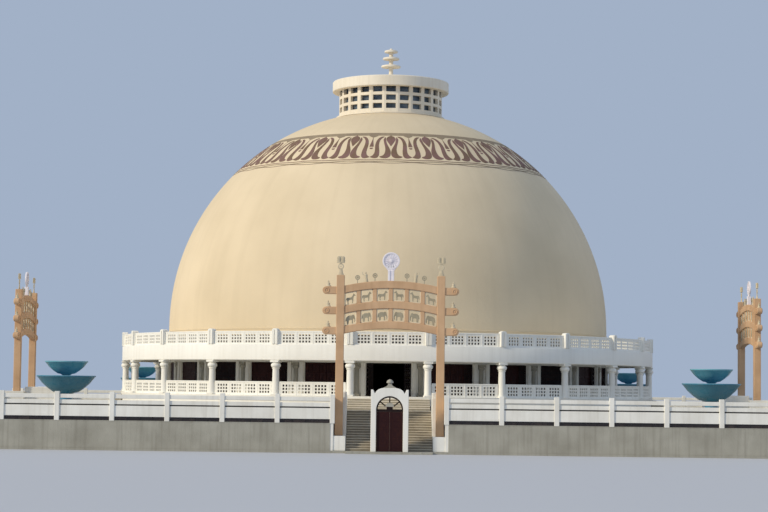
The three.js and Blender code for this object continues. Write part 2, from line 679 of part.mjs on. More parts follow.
// The arch gate's frame: two jambs and a pointed-shouldered arch with a finial.
function gateFrame() {
  const bottom = FLOOR_TOP + SEAT;
  const shape = new THREE.Shape();
  shape.moveTo(GATE_OPENING_HALF, bottom);
  shape.lineTo(GATE_HALF, bottom);
  shape.lineTo(GATE_HALF, GATE_SHOULDER);
  shape.lineTo(GATE_HALF - GATE_HORN, GATE_SHOULDER);
  shape.lineTo(GATE_NOTCH.x, GATE_NOTCH.level);
  shape.quadraticCurveTo(GATE_CROWN.x, GATE_CROWN.level, GATE_NECK.foot, GATE_ARCH_TOP);
  shape.lineTo(GATE_NECK.waist, GATE_NECK.waistLevel);
  shape.lineTo(GATE_BOWL.half, GATE_BOWL.level);
  shape.lineTo(GATE_BOWL.top, GATE_FINIAL_TOP);
  shape.lineTo(-GATE_BOWL.top, GATE_FINIAL_TOP);
  shape.lineTo(-GATE_BOWL.half, GATE_BOWL.level);
  shape.lineTo(-GATE_NECK.waist, GATE_NECK.waistLevel);
  shape.lineTo(-GATE_NECK.foot, GATE_ARCH_TOP);
  shape.quadraticCurveTo(-GATE_CROWN.x, GATE_CROWN.level, -GATE_NOTCH.x, GATE_NOTCH.level);
  shape.lineTo(-GATE_HALF + GATE_HORN, GATE_SHOULDER);
  shape.lineTo(-GATE_HALF, GATE_SHOULDER);
  shape.lineTo(-GATE_HALF, bottom);
  shape.lineTo(-GATE_OPENING_HALF, bottom);
  shape.lineTo(-GATE_OPENING_HALF, GATE_SPRING);
  shape.absarc(0, GATE_SPRING, GATE_OPENING_HALF, Math.PI, 0, true);
  return elevationPrism(shape, -GATE_FRONT, -GATE_FRONT + GATE_DEPTH, ARCH_STEPS);
}

// The fixed fanlight: a transom, a rim, a hub and radiating bars.
function gateFanlight() {
  const y = -LEAF_FRONT + LEAF_THICK / 2;
  const front = y - FANLIGHT_DEPTH / 2;
  const back = y + FANLIGHT_DEPTH / 2;
  const radius = GATE_OPENING_HALF - SEAT;
  const rim = new THREE.Shape();
  rim.absarc(0, GATE_SPRING, radius, 0, Math.PI, false);
  rim.lineTo(-radius, GATE_SPRING - TRANSOM);
  rim.lineTo(radius, GATE_SPRING - TRANSOM);
  const light = new THREE.Shape();
  light.absarc(0, GATE_SPRING, radius - FANLIGHT_BAR, 0, Math.PI, false);
  const opening = elevationPrism(light, front - LAP, back + LAP, ARCH_STEPS);
  const frame = cut(elevationPrism(rim, front, back, ARCH_STEPS), [opening]);
  const hub = new THREE.Shape();
  hub.absarc(0, GATE_SPRING, HUB_RADIUS, 0, Math.PI, false);
  hub.lineTo(-HUB_RADIUS, GATE_SPRING - TRANSOM / 2);
  hub.lineTo(HUB_RADIUS, GATE_SPRING - TRANSOM / 2);
  const bars = FANLIGHT_ANGLES.map((degrees) => {
    const half = FANLIGHT_BAR / 2;
    const bar = block(BAR_START, radius - half, front + LAP, back - LAP, -half, half);
    bar.rotateY(-THREE.MathUtils.degToRad(degrees));
    return bar.translate(0, 0, GATE_SPRING);
  });
  return joined([frame, elevationPrism(hub, front + LAP / 2, back - LAP / 2, HUB_STEPS), ...bars]);
}

// One leaf of the gate, in its closed place, with pivots at its foot and head.
function gateLeaf(side) {
  const hingeEdge = GATE_OPENING_HALF - LEAF_GAP;
  const meetingEdge = LEAF_MEETING_GAP / 2;
  const [x0, x1] = side < 0 ? [-hingeEdge, -meetingEdge] : [meetingEdge, hingeEdge];
  const bottom = FLOOR_TOP + LEAF_FLOOR_GAP;
  const top = GATE_SPRING - TRANSOM - LEAF_FLOOR_GAP;
  const leaf = block(x0, x1, -LEAF_FRONT, -LEAF_FRONT + LEAF_THICK, bottom, top);
  const pivotHeight = LEAF_FLOOR_GAP - SEAT + LAP;
  const footPin = FLOOR_TOP + SEAT + pivotHeight / 2;
  const headPin = GATE_SPRING - TRANSOM - SEAT - pivotHeight / 2;
  const pins = [footPin, headPin].map((level) => {
    const pin = new THREE.CylinderGeometry(PIVOT_RADIUS, PIVOT_RADIUS, pivotHeight, PIVOT_SIDES);
    pin.rotateX(Math.PI / 2);
    return pin.translate(side * (hingeEdge - PIVOT_INSET), -LEAF_FRONT + LEAF_THICK / 2, level);
  });
  return joined([leaf, ...pins]);
}

// The floor of the hall, inside the dome wall.
function hallFloor() {
  const outline = ringPoints(DOME_RADIUS - DOME_WALL - SEAT, DOME_SIDES, HALF_BAY);
  return planPrism(outline, VERANDAH_FLOOR - ROOF_SLAB, VERANDAH_FLOOR);
}

// The fountain in the front right corner of the terrace.
function fountain() {
  const profile = FOUNTAIN_PROFILE.map(([radius, level]) => [real(radius), real(level) + SEAT]);
  return turned(profile, FOUNTAIN_SIDES).translate(FOUNTAIN_OFFSET, -FOUNTAIN_OFFSET, 0);
}

// The podium and its stairs.
addPiece('podium_floor', podiumFloor(), 'grey_plaster');
addOnEachCorner('podium_wall', podiumCorner(), 'white_paint');
addPiece('terrace_slab', terraceSlab(), 'step_stone');
addOnEachSide('lower_stair', lowerFlight(), 'step_stone');
addOnEachSide('upper_stair', upperFlight(), 'step_stone');

// The hall and the verandah around it.
addPiece('hall_floor', hallFloor(), 'step_stone');
addOnEachSide('dome_wall', domeWall(), 'cream_plaster');
addOnEachSide('verandah_plinth', verandahPlinth(), 'white_paint');
addOnEachSide('colonnade', colonnade(), 'white_paint');
addOnEachSide('verandah_roof', verandahRoof(), 'white_paint');
addOnEachSide('roof_balustrade', upperBalustrade(), 'white_paint');

// The dome and what stands on it.
addOnEachSide('dome_shell', domeShell(), 'cream_plaster');
addPiece('lantern_drum', drum(), 'cream_plaster');
addPiece('lantern_glazing', drumGlazing(), 'dark_glass');
addPiece('lantern_cap', drumCap(), 'cream_plaster');
addPiece('umbrella_mast', umbrellaMast(), 'cream_plaster');
DISCS.forEach((disc) => addPiece(disc.name, umbrellaDisc(disc), 'cream_plaster'));

// The toranas, the arch gate and the fountains.
addOnEachSide('torana', torana(), 'sandstone');
addPiece('arch_gate_frame', gateFrame(), 'white_paint');
addPiece('arch_gate_fanlight', gateFanlight(), 'door_paint');
addPiece('arch_gate_left_leaf', gateLeaf(-1), 'door_paint');
addPiece('arch_gate_right_leaf', gateLeaf(1), 'door_paint');
addOnEachCorner('fountain', fountain(), 'blue_bowl');

export default stupa;
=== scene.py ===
# %% [markdown]
# A domed stupa on a square podium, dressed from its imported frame.
# The frame is the CAD model at half the size of the building. It gives every place and every moving body,
# and the cells below put the finer shapes and the finishes on it.

# %% Load the frame
import math

import bmesh
import bpy
from mathutils import Matrix, Vector


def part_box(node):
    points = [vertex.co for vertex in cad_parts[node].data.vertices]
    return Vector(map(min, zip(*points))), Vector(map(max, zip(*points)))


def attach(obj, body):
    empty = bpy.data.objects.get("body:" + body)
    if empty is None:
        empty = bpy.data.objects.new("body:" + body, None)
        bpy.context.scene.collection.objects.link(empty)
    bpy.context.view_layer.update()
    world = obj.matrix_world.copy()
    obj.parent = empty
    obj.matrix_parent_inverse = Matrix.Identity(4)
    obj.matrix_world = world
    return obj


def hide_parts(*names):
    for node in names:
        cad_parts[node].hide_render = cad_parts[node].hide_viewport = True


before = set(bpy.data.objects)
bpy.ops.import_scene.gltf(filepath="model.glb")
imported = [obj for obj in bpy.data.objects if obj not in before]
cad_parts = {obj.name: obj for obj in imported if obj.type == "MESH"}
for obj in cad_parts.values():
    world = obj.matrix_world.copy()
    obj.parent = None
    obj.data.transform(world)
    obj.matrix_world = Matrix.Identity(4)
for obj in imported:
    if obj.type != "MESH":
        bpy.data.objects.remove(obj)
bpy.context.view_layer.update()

MODEL_SCALE = 0.5

# %% [markdown]
# The building is easier to think about at its real size, so every shape is drawn in real metres and is
# brought to half size when it is finished. The main levels and radii come from the frame's own boxes.
# Angles run round the dome's axis, from the front (-Y) towards the right (+X).

# %% Sizes from the frame, in real metres


def cad_box(name):
    """The lowest and highest corner of a CAD node, in real metres."""
    return [corner / MODEL_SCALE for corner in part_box(name)]


EDGE_EASE = 0.001  # keeps the outermost faces just inside the CAD box
PODIUM_HALF = cad_box("front_right_podium_wall")[1].x - EDGE_EASE
PODIUM_FLOOR = cad_box("podium_floor")[1].z
TERRACE = cad_box("terrace_slab")[1].z
DOME_RADIUS = -cad_box("front_dome_wall")[0].y
DOME_SPRING, DOME_TOP = (corner.z for corner in cad_box("front_dome_shell"))
VERANDAH_FLOOR = cad_box("hall_floor")[1].z
FASCIA_TOP = cad_box("front_colonnade")[1].z
DRUM_BASE = cad_box("lantern_drum")[0].z
CAP_SOFFIT, CAP_TOP = (corner.z for corner in cad_box("lantern_cap"))
CAP_RADIUS = cad_box("lantern_cap")[1].x
MAST_TOP = cad_box("umbrella_mast")[1].z
BAYS = 24
BAY = 360 / BAYS
SIDES = ("front", "right", "back", "left")
CORNERS = ("front_right", "back_right", "back_left", "front_left")
print("dome radius", round(DOME_RADIUS, 2), "spring", round(DOME_SPRING, 2), "podium", round(PODIUM_HALF, 2))

# %% [markdown]
# The camera stands on the approach, far away and just above head height, with a long lens. A long lens
# from afar keeps the dome's outline close to a true circle, as it is in the picture. It stands a little
# left of the axis, and the small roll is the hand that held it.

# %% Camera
EYE = Vector((-1.0, -165.5, 4.63))
LENS_MM = 92.1
YAW, PITCH, ROLL = -0.21, 3.76, 0.73


def stood(name, data):
    """A new object that stands in the scene."""
    thing = bpy.data.objects.new(name, data)
    bpy.context.scene.collection.objects.link(thing)
    return thing


def rolled(degrees, axis):
    return Matrix.Rotation(math.radians(degrees), 4, axis)


def moved(x, y, z):
    return Matrix.Translation((x, y, z))


camera = stood("camera", bpy.data.cameras.new("camera"))
camera.data.lens = LENS_MM
camera.data.sensor_width = 36
camera.data.clip_start = 1
camera.data.clip_end = 2000
camera.matrix_world = moved(*EYE * MODEL_SCALE) @ rolled(YAW, "Z") @ rolled(90 + PITCH, "X") @ rolled(ROLL, "Z")
bpy.context.scene.camera = camera
bpy.context.scene.view_settings.view_transform = "Standard"
print("camera", [round(v, 2) for v in camera.location])

# %% [markdown]
# Colours are written as the hex values that a screen shows. Shaders work with linear light, so one
# function turns the first into the second. One more adds a node, sets it and links it. Each finish starts
# from the piece's own coordinates, and ends with a colour, a roughness and a relief on the shader.

# %% Colour and node helpers


def colour(hex_value):
    """An sRGB hex colour as linear RGBA."""
    parts = [int(hex_value[i:i + 2], 16) / 255 for i in (1, 3, 5)]
    linear = [c / 12.92 if c <= 0.04045 else ((c + 0.055) / 1.055) ** 2.4 for c in parts]
    return (*linear, 1)


def node(tree, kind, links=None, out=0, **settings):
    """Adds a shader node. links maps a socket to a value or to another node's output."""
    made = tree.nodes.new("ShaderNode" + kind)
    for key, value in settings.items():
        setattr(made, key, value)
    for socket, value in (links or {}).items():
        if isinstance(value, bpy.types.NodeSocket):
            tree.links.new(value, made.inputs[socket])
        else:
            made.inputs[socket].default_value = value
    return made.outputs[out]


def started(name):
    """A new finish: its material, its node tree and the piece's own coordinates."""
    material = bpy.data.materials.new(name)
    material.use_nodes = True
    print("finish", name)
    return material, material.node_tree, node(material.node_tree, "TexCoord", out="Object")


def ended(material, coat, dull, relief):
    """Links a finish's colour, roughness and relief to its shader."""
    shader = material.node_tree.nodes["Principled BSDF"]
    for socket, source in (("Base Color", coat), ("Roughness", dull), ("Normal", relief)):
        material.node_tree.links.new(source, shader.inputs[socket])
    return material


def fineness(millimetres):
    """A noise scale whose spots are so many millimetres wide on the real building."""
    return 1000 / (millimetres * MODEL_SCALE)


# %% [markdown]
# Outdoor masonry is never one colour. Rain washes dust down it in streaks, patches dry unevenly, and
# the grain of the coat catches the light. This finish builds those three layers over a base colour.
# A streak is noise that is squeezed across and drawn out downwards. On the dome it has to run down the
# slope, so there the noise is read by compass direction instead of by position. Sizes are millimetres on
# the building. The real grain of a brushed or thrown coat is 1 to 5 mm, too fine to show from afar, so
# the grain is drawn 50 to 240 mm wide.

# %% Weathered masonry
STREAK_DRAW = 0.05  # how far a streak is drawn out: 20 times as long as it is wide
RADIAL_REACH = DOME_RADIUS * MODEL_SCALE
DULL_SPREAD = 0.06  # how far the roughness swings to each side


def masonry(name, base, stain, roughness, sizes_mm, streaks, patches, relief_mm, radial=False):
    """sizes_mm are the widths of patch, streak and grain. streaks and patches say how strongly they stain."""
    material, tree, place = started(name)
    patch_mm, streak_mm, grain_mm = sizes_mm
    base, stain = colour(base), colour(stain)
    across = place
    if radial:
        flat = node(tree, "VectorMath", {0: place, 1: (1, 1, 0)}, operation="MULTIPLY")
        unit = node(tree, "VectorMath", {0: flat}, operation="NORMALIZE")
        height = node(tree, "VectorMath", {0: place, 1: (0, 0, 1)}, operation="MULTIPLY")
        wide = node(tree, "VectorMath", {0: unit, 3: RADIAL_REACH}, operation="SCALE")
        across = node(tree, "VectorMath", {0: wide, 1: height}, operation="ADD")
    drawn = node(tree, "Mapping", {0: across, 3: (1, 1, STREAK_DRAW)})
    streak = node(tree, "TexNoise", {0: drawn, "Scale": fineness(streak_mm), "Detail": 5.0})
    patch = node(tree, "TexNoise", {0: place, "Scale": fineness(patch_mm), "Detail": 6.0})
    grain = node(tree, "TexNoise", {0: place, "Scale": fineness(grain_mm), "Detail": 8.0})
    uneven = node(tree, "MapRange", {0: patch, 1: 0.35, 2: 0.7, 3: 0.0, 4: patches})
    washed = node(tree, "MapRange", {0: streak, 1: 0.48, 2: 0.75, 3: 0.0, 4: streaks})
    dried = node(tree, "Mix", {0: uneven, 6: base, 7: stain}, 2, data_type="RGBA")
    coat = node(tree, "Mix", {0: washed, 6: dried, 7: stain}, 2, data_type="RGBA")
    dull = node(tree, "MapRange", {0: patch, 1: 0.3, 2: 0.7,
                                   3: roughness - DULL_SPREAD, 4: roughness + DULL_SPREAD})
    depth = relief_mm / 1000 * MODEL_SCALE
    return ended(material, coat, dull, node(tree, "Bump", {"Height": grain, "Distance": depth, "Strength": 0.5}))


# %% [markdown]
# The dome is cement plaster under a cream lime wash, brushed on by hand. The wash is chalky and has no
# shine, and it dries in wide soft clouds. The lower walls have a whiter masonry paint, smoother and a
# little less dull, and the podium's has greyed with dust. The foot of the podium is rough cast: a coat
# with stone chips thrown on, left unpainted, so it is dark, grainy and streaked.

# %% Plaster, paint and rough cast
lime_wash = masonry("cream_lime_wash_on_plaster", "#E9D6B5", "#CDBB9B", 0.88, (7000, 900, 240), 0.22, 0.5, 24, True)
pale_wash = masonry("pale_lime_wash_on_concrete", "#F3E9D6", "#CDBFA6", 0.86, (2400, 260, 120), 0.3, 0.4, 12)
wall_paint = masonry("white_masonry_paint", "#FAF8F0", "#CFCABF", 0.72, (3200, 320, 120), 0.22, 0.2, 10)
podium_paint = masonry("dusty_masonry_paint", "#F4F2EA", "#C2BCAF", 0.78, (1800, 260, 90), 0.3, 0.35, 10)
rough_cast = masonry("grey_rough_cast", "#AFACA0", "#807C70", 0.93, (1800, 240, 60), 0.45, 0.5, 40)

# %% [markdown]
# The steps are sawn stone slabs over plastered risers. The risers are a darker colour than the slabs, which
# is what makes a flight read as stripes from afar. The long lower flights are painted darker still: painted
# shade, for the shade that lies on them between the walls. The toranas are carved sandstone, tooled by hand:
# pinkish tan, without shine, in blocks that differ a little. Their frames and small figures are cast in pale
# stone plaster, and the animals in the frames are grey: painted shade that sets them off against the dome.

# %% Stone finishes
tread_stone = masonry("sawn_step_stone", "#F0E8D8", "#C8BCA4", 0.78, (1600, 600, 60), 0.15, 0.4, 8)
# The risers are a darker colour than the step slabs, which draws the stripes of a flight.
riser_plaster = masonry("darker_riser_plaster", "#B8AE9B", "#8A8171", 0.9, (1100, 300, 60), 0.5, 0.6, 12)
# Painted shade: the lower flights' slabs and risers are darker, for the shade between the walls.
shaded_lower_tread = masonry("shaded_lower_step_stone", "#D4CAB6", "#A1967F", 0.85, (1200, 500, 60), 0.3, 0.55, 10)
shaded_lower_riser = masonry("shaded_lower_riser_plaster", "#9E9483", "#71685A", 0.92, (900, 260, 60), 0.55, 0.6, 12)
sandstone = masonry("tooled_sandstone", "#D8B28B", "#B08A68", 0.9, (1300, 300, 60), 0.3, 0.5, 16)
cast_stone = masonry("cast_stone_plaster", "#F2E5CB", "#C3B295", 0.85, (700, 200, 50), 0.3, 0.45, 12)
figure_stone = masonry("weathered_cast_stone", "#DBCDB0", "#A2957A", 0.88, (500, 160, 50), 0.35, 0.5, 12)
# Grey stone for the small wheels and the animals; on the animals the grey is painted shade.
carved_stone = masonry("carved_stone_grey_and_painted_shade", "#B1A78F", "#7F7663", 0.9, (500, 160, 50), 0.4, 0.5, 12)
wheel_paint = masonry("lilac_white_stone_paint", "#F6F1F5", "#C3BAC7", 0.6, (600, 150, 50), 0.2, 0.3, 8)

# %% [markdown]
# The band on the dome is painted in flat masonry paints over a pale ground. The colours were brushed by
# hand, so a petal is mauve where the coat is full and olive brown where it thins. A black coat, dark grey in
# patches, is painted shade: it goes on the round wall behind the roof's balustrade, on the foot of the
# verandah's base and at the back of the podium's lower slit.

# %% Band paints and painted shade
band_ground = masonry("pale_band_ground_paint", "#F2DFC6", "#D6C1A0", 0.85, (2400, 600, 200), 0.2, 0.3, 20, True)
petal_paint = masonry("mauve_petal_paint", "#86645F", "#73603F", 0.85, (900, 420, 160), 0.5, 0.75, 20, True)
line_paint = masonry("olive_line_paint", "#8F7E68", "#B3A184", 0.85, (1800, 600, 160), 0.4, 0.4, 20, True)
# Painted shade: a black coat, dark grey in patches, for places that look dark in their recesses.
black_shade_paint = masonry("brushed_black_shade_paint_coat", "#353332", "#56524E", 0.8, (900, 300, 80), 0.4, 0.4, 8, True)

# %% [markdown]
# Paving is sawn stone laid in a square grid of slabs 900 mm wide. A brick texture with no offset draws the
# joints, and each slab gets its own shade from it. The joints are drawn 24 mm wide, about twice the real
# ones, so that they show.

# %% Paving
SLAB_SIDE = 0.9 * MODEL_SCALE
JOINT_WIDTH = 0.024 * MODEL_SCALE
GRIME_MM = 2200

paving, tree, place = started("sawn_stone_paving")
slabs = node(tree, "TexBrick", {0: place, "Color1": colour("#BFB7A6"), "Color2": colour("#B0A896"),
                                "Mortar": colour("#857D6E"), "Scale": 1.0, "Mortar Size": JOINT_WIDTH,
                                "Brick Width": SLAB_SIDE, "Row Height": SLAB_SIDE}, offset=0.0)
grime = node(tree, "TexNoise", {0: place, "Scale": fineness(GRIME_MM), "Detail": 6.0})
share = node(tree, "MapRange", {0: grime, 1: 0.4, 2: 0.7, 3: 0.0, 4: 0.45})
worn = node(tree, "Mix", {0: share, 6: slabs, 7: colour("#928A7A")}, 2, data_type="RGBA")
dull = node(tree, "MapRange", {0: grime, 1: 0.3, 2: 0.7, 3: 0.6, 4: 0.85})
joints = {"Height": slabs.node.outputs[1], "Distance": 0.004, "Strength": 0.6}
ended(paving, worn, dull, node(tree, "Bump", joints, invert=True))

# %% [markdown]
# Float glass before a dark room looks dark and smooth, and its film of dust dulls it in patches about a
# metre wide. The doors are boards and iron laths under the same dark red oil paint. The sun has taken most
# of its sheen, and the brown primer shows where it has worn. The fountain bowls have a turquoise enamel
# paint that rain has chalked. The upper bowls get a lighter copy of it, which is painted light where the
# sun falls on them. It still has a gloss, so that a bowl's edge catches the pale sky.

# %% Glass and oil paint


def filmed(name, base, film, film_mm, film_share, clean, dulled, specular=0.5):
    """A smooth finish under a thin film of dust, chalk or wear. clean and dulled are its two roughnesses."""
    material, tree, place = started(name)
    cloud = node(tree, "TexNoise", {0: place, "Scale": fineness(film_mm), "Detail": 8.0})
    share = node(tree, "MapRange", {0: cloud, 1: 0.45, 2: 0.72, 3: 0.0, 4: film_share})
    shade = node(tree, "Mix", {0: share, 6: colour(base), 7: colour(film)}, 2, data_type="RGBA")
    dull = node(tree, "MapRange", {0: cloud, 1: 0.4, 2: 0.72, 3: clean, 4: dulled})
    tree.nodes["Principled BSDF"].inputs["Specular IOR Level"].default_value = specular
    return ended(material, shade, dull, node(tree, "Bump", {"Height": cloud, "Distance": 0.002, "Strength": 0.3}))


lantern_glass = filmed("dusty_float_glass", "#39444F", "#8FA3B5", 1200, 0.5, 0.08, 0.4)
ribbon_glass = filmed("dark_basement_glass", "#231C1D", "#54453F", 900, 0.4, 0.1, 0.45)
door_paint = filmed("maroon_oil_paint_on_boards", "#2C0F10", "#3E1F18", 160, 0.5, 0.45, 0.7, 0.2)
dark_paint = filmed("dark_oil_paint_on_iron", "#1B1011", "#36211D", 140, 0.45, 0.45, 0.7, 0.2)
bowl_enamel = filmed("turquoise_enamel_paint", "#4083A0", "#6F93A6", 500, 0.35, 0.24, 0.5)
# Painted light: a lighter copy of the bowl enamel for the upper bowls, where the sun falls.
lit_upper_bowl_enamel = filmed("turquoise_enamel_with_painted_light", "#62A6B9", "#8FB6C1", 500, 0.35, 0.24, 0.5)
rim_enamel = filmed("pale_turquoise_enamel_paint", "#A5C8CE", "#C4D4D6", 500, 0.4, 0.3, 0.5)

# %% [markdown]
# Shapes are bmesh work. A block is a cube operator with its edges bevelled, because no built edge is
# perfectly sharp. A turned form is a profile that the spin operator carries round the axis. A patch is a
# grid operator whose points are laid on a surface. A cut-out is an outline that is extruded, like a shape
# sawn from a slab. Repeated parts are made once and copied.

# %% Shape helpers: placing and joining


def placed(bm, matrix):
    """Moves, turns or stretches a whole shape, and returns it."""
    bmesh.ops.transform(bm, matrix=matrix, verts=bm.verts[:])
    return bm


def stretched(x, y, z):
    return Matrix.Diagonal((x, y, z, 1))


def merged(bm, part, matrix=Matrix()):
    """Adds a moved copy of part to bm, and leaves part as it was."""
    mesh = bpy.data.meshes.new("scratch")
    part.to_mesh(mesh)
    mesh.transform(matrix)
    bm.from_mesh(mesh)
    bpy.data.meshes.remove(mesh)


def joined(bm, part, matrix=Matrix()):
    """Adds part to bm, moved, and frees it."""
    merged(bm, part, matrix)
    part.free()


def ringed(part, count=BAYS, first=0.0):
    """A new bmesh of count copies of part, evenly round the axis."""
    bm = bmesh.new()
    for i in range(count):
        merged(bm, part, rolled(first + i * 360 / count, "Z"))
    part.free()
    return bm


# %% Shape helpers: blocks, turned forms and cut-outs


def about(middle, half):
    """The span of a half width about a middle."""
    return middle - half, middle + half


def eased(bm, edges, width, clamp=False):
    """Planes edges off at a slant."""
    bmesh.ops.bevel(bm, geom=edges, offset=width, offset_type="OFFSET", affect="EDGES", segments=1,
                    profile=0.5, material=-1, clamp_overlap=clamp)


def block(bm, x, y, z, bevel=0.015):
    """Adds a bevelled block. x, y and z are two limits in any order, or a half width about 0."""
    part = bmesh.new()
    bmesh.ops.create_cube(part, size=1)
    for axis, limits in enumerate((x, y, z)):
        low, high = sorted(limits) if isinstance(limits, tuple) else about(0, limits)
        for vert in part.verts:
            vert.co[axis] = low if vert.co[axis] < 0 else high
    if bevel:
        eased(part, part.edges[:], bevel)
    joined(bm, part)


def turned(profile, sides, radius=0.0, level=0.0):
    """A new bmesh of a profile of (radius, height) points, from a radius and a level, spun about the axis.
    A profile that starts away from the axis is closed."""
    bm = bmesh.new()
    verts = [bm.verts.new((radius + r, 0, level + z)) for r, z in profile]
    pairs = list(zip(verts, verts[1:]))
    if verts[0].co.x > 0:
        pairs.append((verts[-1], verts[0]))
    edges = [bm.edges.new(pair) for pair in pairs]
    bmesh.ops.spin(bm, geom=verts + edges, cent=(0, 0, 0), axis=(0, 0, 1), angle=math.tau,
                   steps=sides, use_merge=True)
    bmesh.ops.remove_doubles(bm, verts=bm.verts[:], dist=1e-5)
    bmesh.ops.recalc_face_normals(bm, faces=bm.faces[:])
    return bm


def deepened(bm, depth):
    """Extrudes every face of a flat shape by depth along Y, and closes it."""
    grown = bmesh.ops.extrude_face_region(bm, geom=bm.faces[:], use_keep_orig=True)["geom"]
    fresh = [item for item in grown if isinstance(item, bmesh.types.BMVert)]
    bmesh.ops.translate(bm, vec=(0, depth, 0), verts=fresh)
    bmesh.ops.recalc_face_normals(bm, faces=bm.faces[:])
    return bm


def cut_out(points, depth, bevel):
    """A new bmesh of an outline of (x, z) points, with half the depth on each side of y = 0."""
    bm = bmesh.new()
    bm.faces.new([bm.verts.new((x, -depth / 2, z)) for x, z in points])
    deepened(bm, depth).normal_update()
    eased(bm, [edge for edge in bm.edges if edge.calc_face_angle() > math.radians(50)], bevel, True)
    return bm


def mirrored(points):
    """An outline that is the same left and right, from its right half, listed upwards."""
    return points + [(-x, z) for x, z in reversed(points) if x > 0]


def half_circle(radius, level, step, rise=1.0):
    """Points of a half circle over a level, from right to left, a step of degrees apart."""
    angles = [math.radians(a) for a in range(0, 181, step)]
    return [(radius * math.cos(a), level + radius * rise * math.sin(a)) for a in angles]


# %% Shape helpers: finished pieces


def finished(name, bm, finish, replaces=(), body="building", sharp=35):
    """Brings a shape to the model's size and makes it a piece that rides a body."""
    placed(bm, Matrix.Scale(MODEL_SCALE, 4))
    for edge in bm.edges:
        edge.smooth = len(edge.link_faces) == 2 and edge.calc_face_angle() < math.radians(sharp)
    for face in bm.faces:
        face.smooth = True
    mesh = bpy.data.meshes.new(name)
    bm.to_mesh(mesh)
    bm.free()
    mesh.materials.append(finish)
    piece = stood(name, mesh)
    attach(piece, body)
    if replaces:
        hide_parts(*replaces)
    print(name, len(mesh.polygons), "faces")


def each(places, name):
    return [f"{place}_{name}" for place in places]


# %% [markdown]
# The CAD pieces whose shape is right stay, and only get their finish: floors, slabs, the round wall, the
# roof of the verandah, both flights of stairs and the two leaves of the gate.

# %% Finishes on the CAD pieces that stay
for finish, names in (
    (rough_cast, ["podium_floor"]), (paving, ["terrace_slab", "hall_floor"]),
    (shaded_lower_riser, each(SIDES, "lower_stair")), (riser_plaster, each(SIDES, "upper_stair")),
    (wall_paint, each(SIDES, "dome_wall") + each(SIDES, "verandah_roof")),
    (lantern_glass, ["lantern_glazing"]), (door_paint, ["arch_gate_left_leaf", "arch_gate_right_leaf"]),
):
    for name in names:
        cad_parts[name].data.materials.clear()
        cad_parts[name].data.materials.append(finish)
    print(finish.name, "on", *names)

# %% [markdown]
# The dome is a plastered concrete shell. The CAD shell has flat facets, which would show along its
# outline, so a smooth one stands for it, with the same radius and the same wall. The cream wash runs down
# over the top of the round wall as a smooth coat a centimetre thick, past a slim ledge. Below that, the
# round wall is painted black where it meets the verandah's roof, as painted shade, and the foot of the
# verandah's base gets the same painted shade. It is what looks dark through the balustrades.

# %% Dome
DOME_SHELL = 0.3
DOME_SIDES = 144
WASH_THICK = 0.01
LEDGE = 8.80
SHADE_PAINT_TOP = 8.35


def dome_profile(radius, steps):
    last = math.asin((DOME_TOP - DOME_SPRING) / radius)
    lifts = [last * i / steps for i in range(steps + 1)]
    return [(radius * math.cos(a), DOME_SPRING + radius * math.sin(a)) for a in lifts]


dome = turned(dome_profile(DOME_RADIUS, 48) + dome_profile(DOME_RADIUS - DOME_SHELL, 24)[::-1], DOME_SIDES)
finished("dome", dome, lime_wash, each(SIDES, "dome_shell"))

washed_wall = turned([
    (-0.2, SHADE_PAINT_TOP - 0.05), (WASH_THICK, SHADE_PAINT_TOP - 0.05), (WASH_THICK, LEDGE), (0.06, LEDGE),
    (0.06, LEDGE + 0.05), (WASH_THICK, LEDGE + 0.07), (WASH_THICK, DOME_SPRING + 0.02), (-0.2, DOME_SPRING + 0.02),
], DOME_SIDES, DOME_RADIUS)
finished("dome_foot_wash", washed_wall, lime_wash)

# Painted shade: black on the round wall, which shows dark through the roof balustrade's holes.
skirting = turned([(-0.2, FASCIA_TOP - 0.1), (0.03, FASCIA_TOP - 0.1), (0.02, SHADE_PAINT_TOP), (-0.2, SHADE_PAINT_TOP)],
                  DOME_SIDES, DOME_RADIUS)
finished("black_shade_paint_skirting", skirting, black_shade_paint)

# %% [markdown]
# A band of lotus petals is painted round the dome's shoulder, with 24 repeats. Each repeat has a bud, two
# inner petals that meet on a thin stem, two outer petals that arch away from it, and a hanging drop under
# a tassel on the line between repeats. Paint has no thickness, but a coat a few millimetres proud keeps
# its crisp edge from any distance. Each petal is a patch between two edges. A row gives a point of each
# edge, as degrees and a share of the band's height, and a smooth curve is drawn through each edge's points.

# %% Painted band: its curves
BAND_LOW, BAND_HIGH = 43.4, 57.0
BAND_EASE = 0.20  # lets equal shares of height look equal from below
COAT = 0.012
INNER_PETAL = [
    (2.23, 0.857, 2.12, 0.818), (3.00, 0.789, 1.97, 0.756), (2.86, 0.707, 1.77, 0.675), (2.52, 0.610, 1.23, 0.585),
    (2.23, 0.528, 0.67, 0.504), (2.09, 0.447, 0.24, 0.423), (2.17, 0.366, 0.08, 0.333), (2.44, 0.301, 0.23, 0.255),
    (2.86, 0.255, 0.79, 0.195), (3.39, 0.236, 1.79, 0.163), (3.93, 0.220, 3.10, 0.167), (4.05, 0.210, 3.94, 0.197),
]
OUTER_PETAL = [
    (2.76, 0.873, 2.75, 0.860), (3.50, 0.873, 3.26, 0.842), (4.27, 0.857, 3.81, 0.811), (5.05, 0.818, 4.37, 0.756),
    (5.65, 0.756, 4.67, 0.683), (6.00, 0.675, 4.69, 0.593), (6.15, 0.577, 4.52, 0.496), (6.01, 0.480, 4.32, 0.398),
    (5.96, 0.382, 4.28, 0.309), (6.15, 0.309, 4.40, 0.233), (6.57, 0.255, 4.91, 0.177), (7.02, 0.226, 5.90, 0.161),
    (7.41, 0.210, 7.35, 0.193),
]


def even(widths):
    """The rows of a shape that is the same on both sides of its middle, from (height, half width) pairs."""
    return [(-half, share, half, share) for share, half in widths]


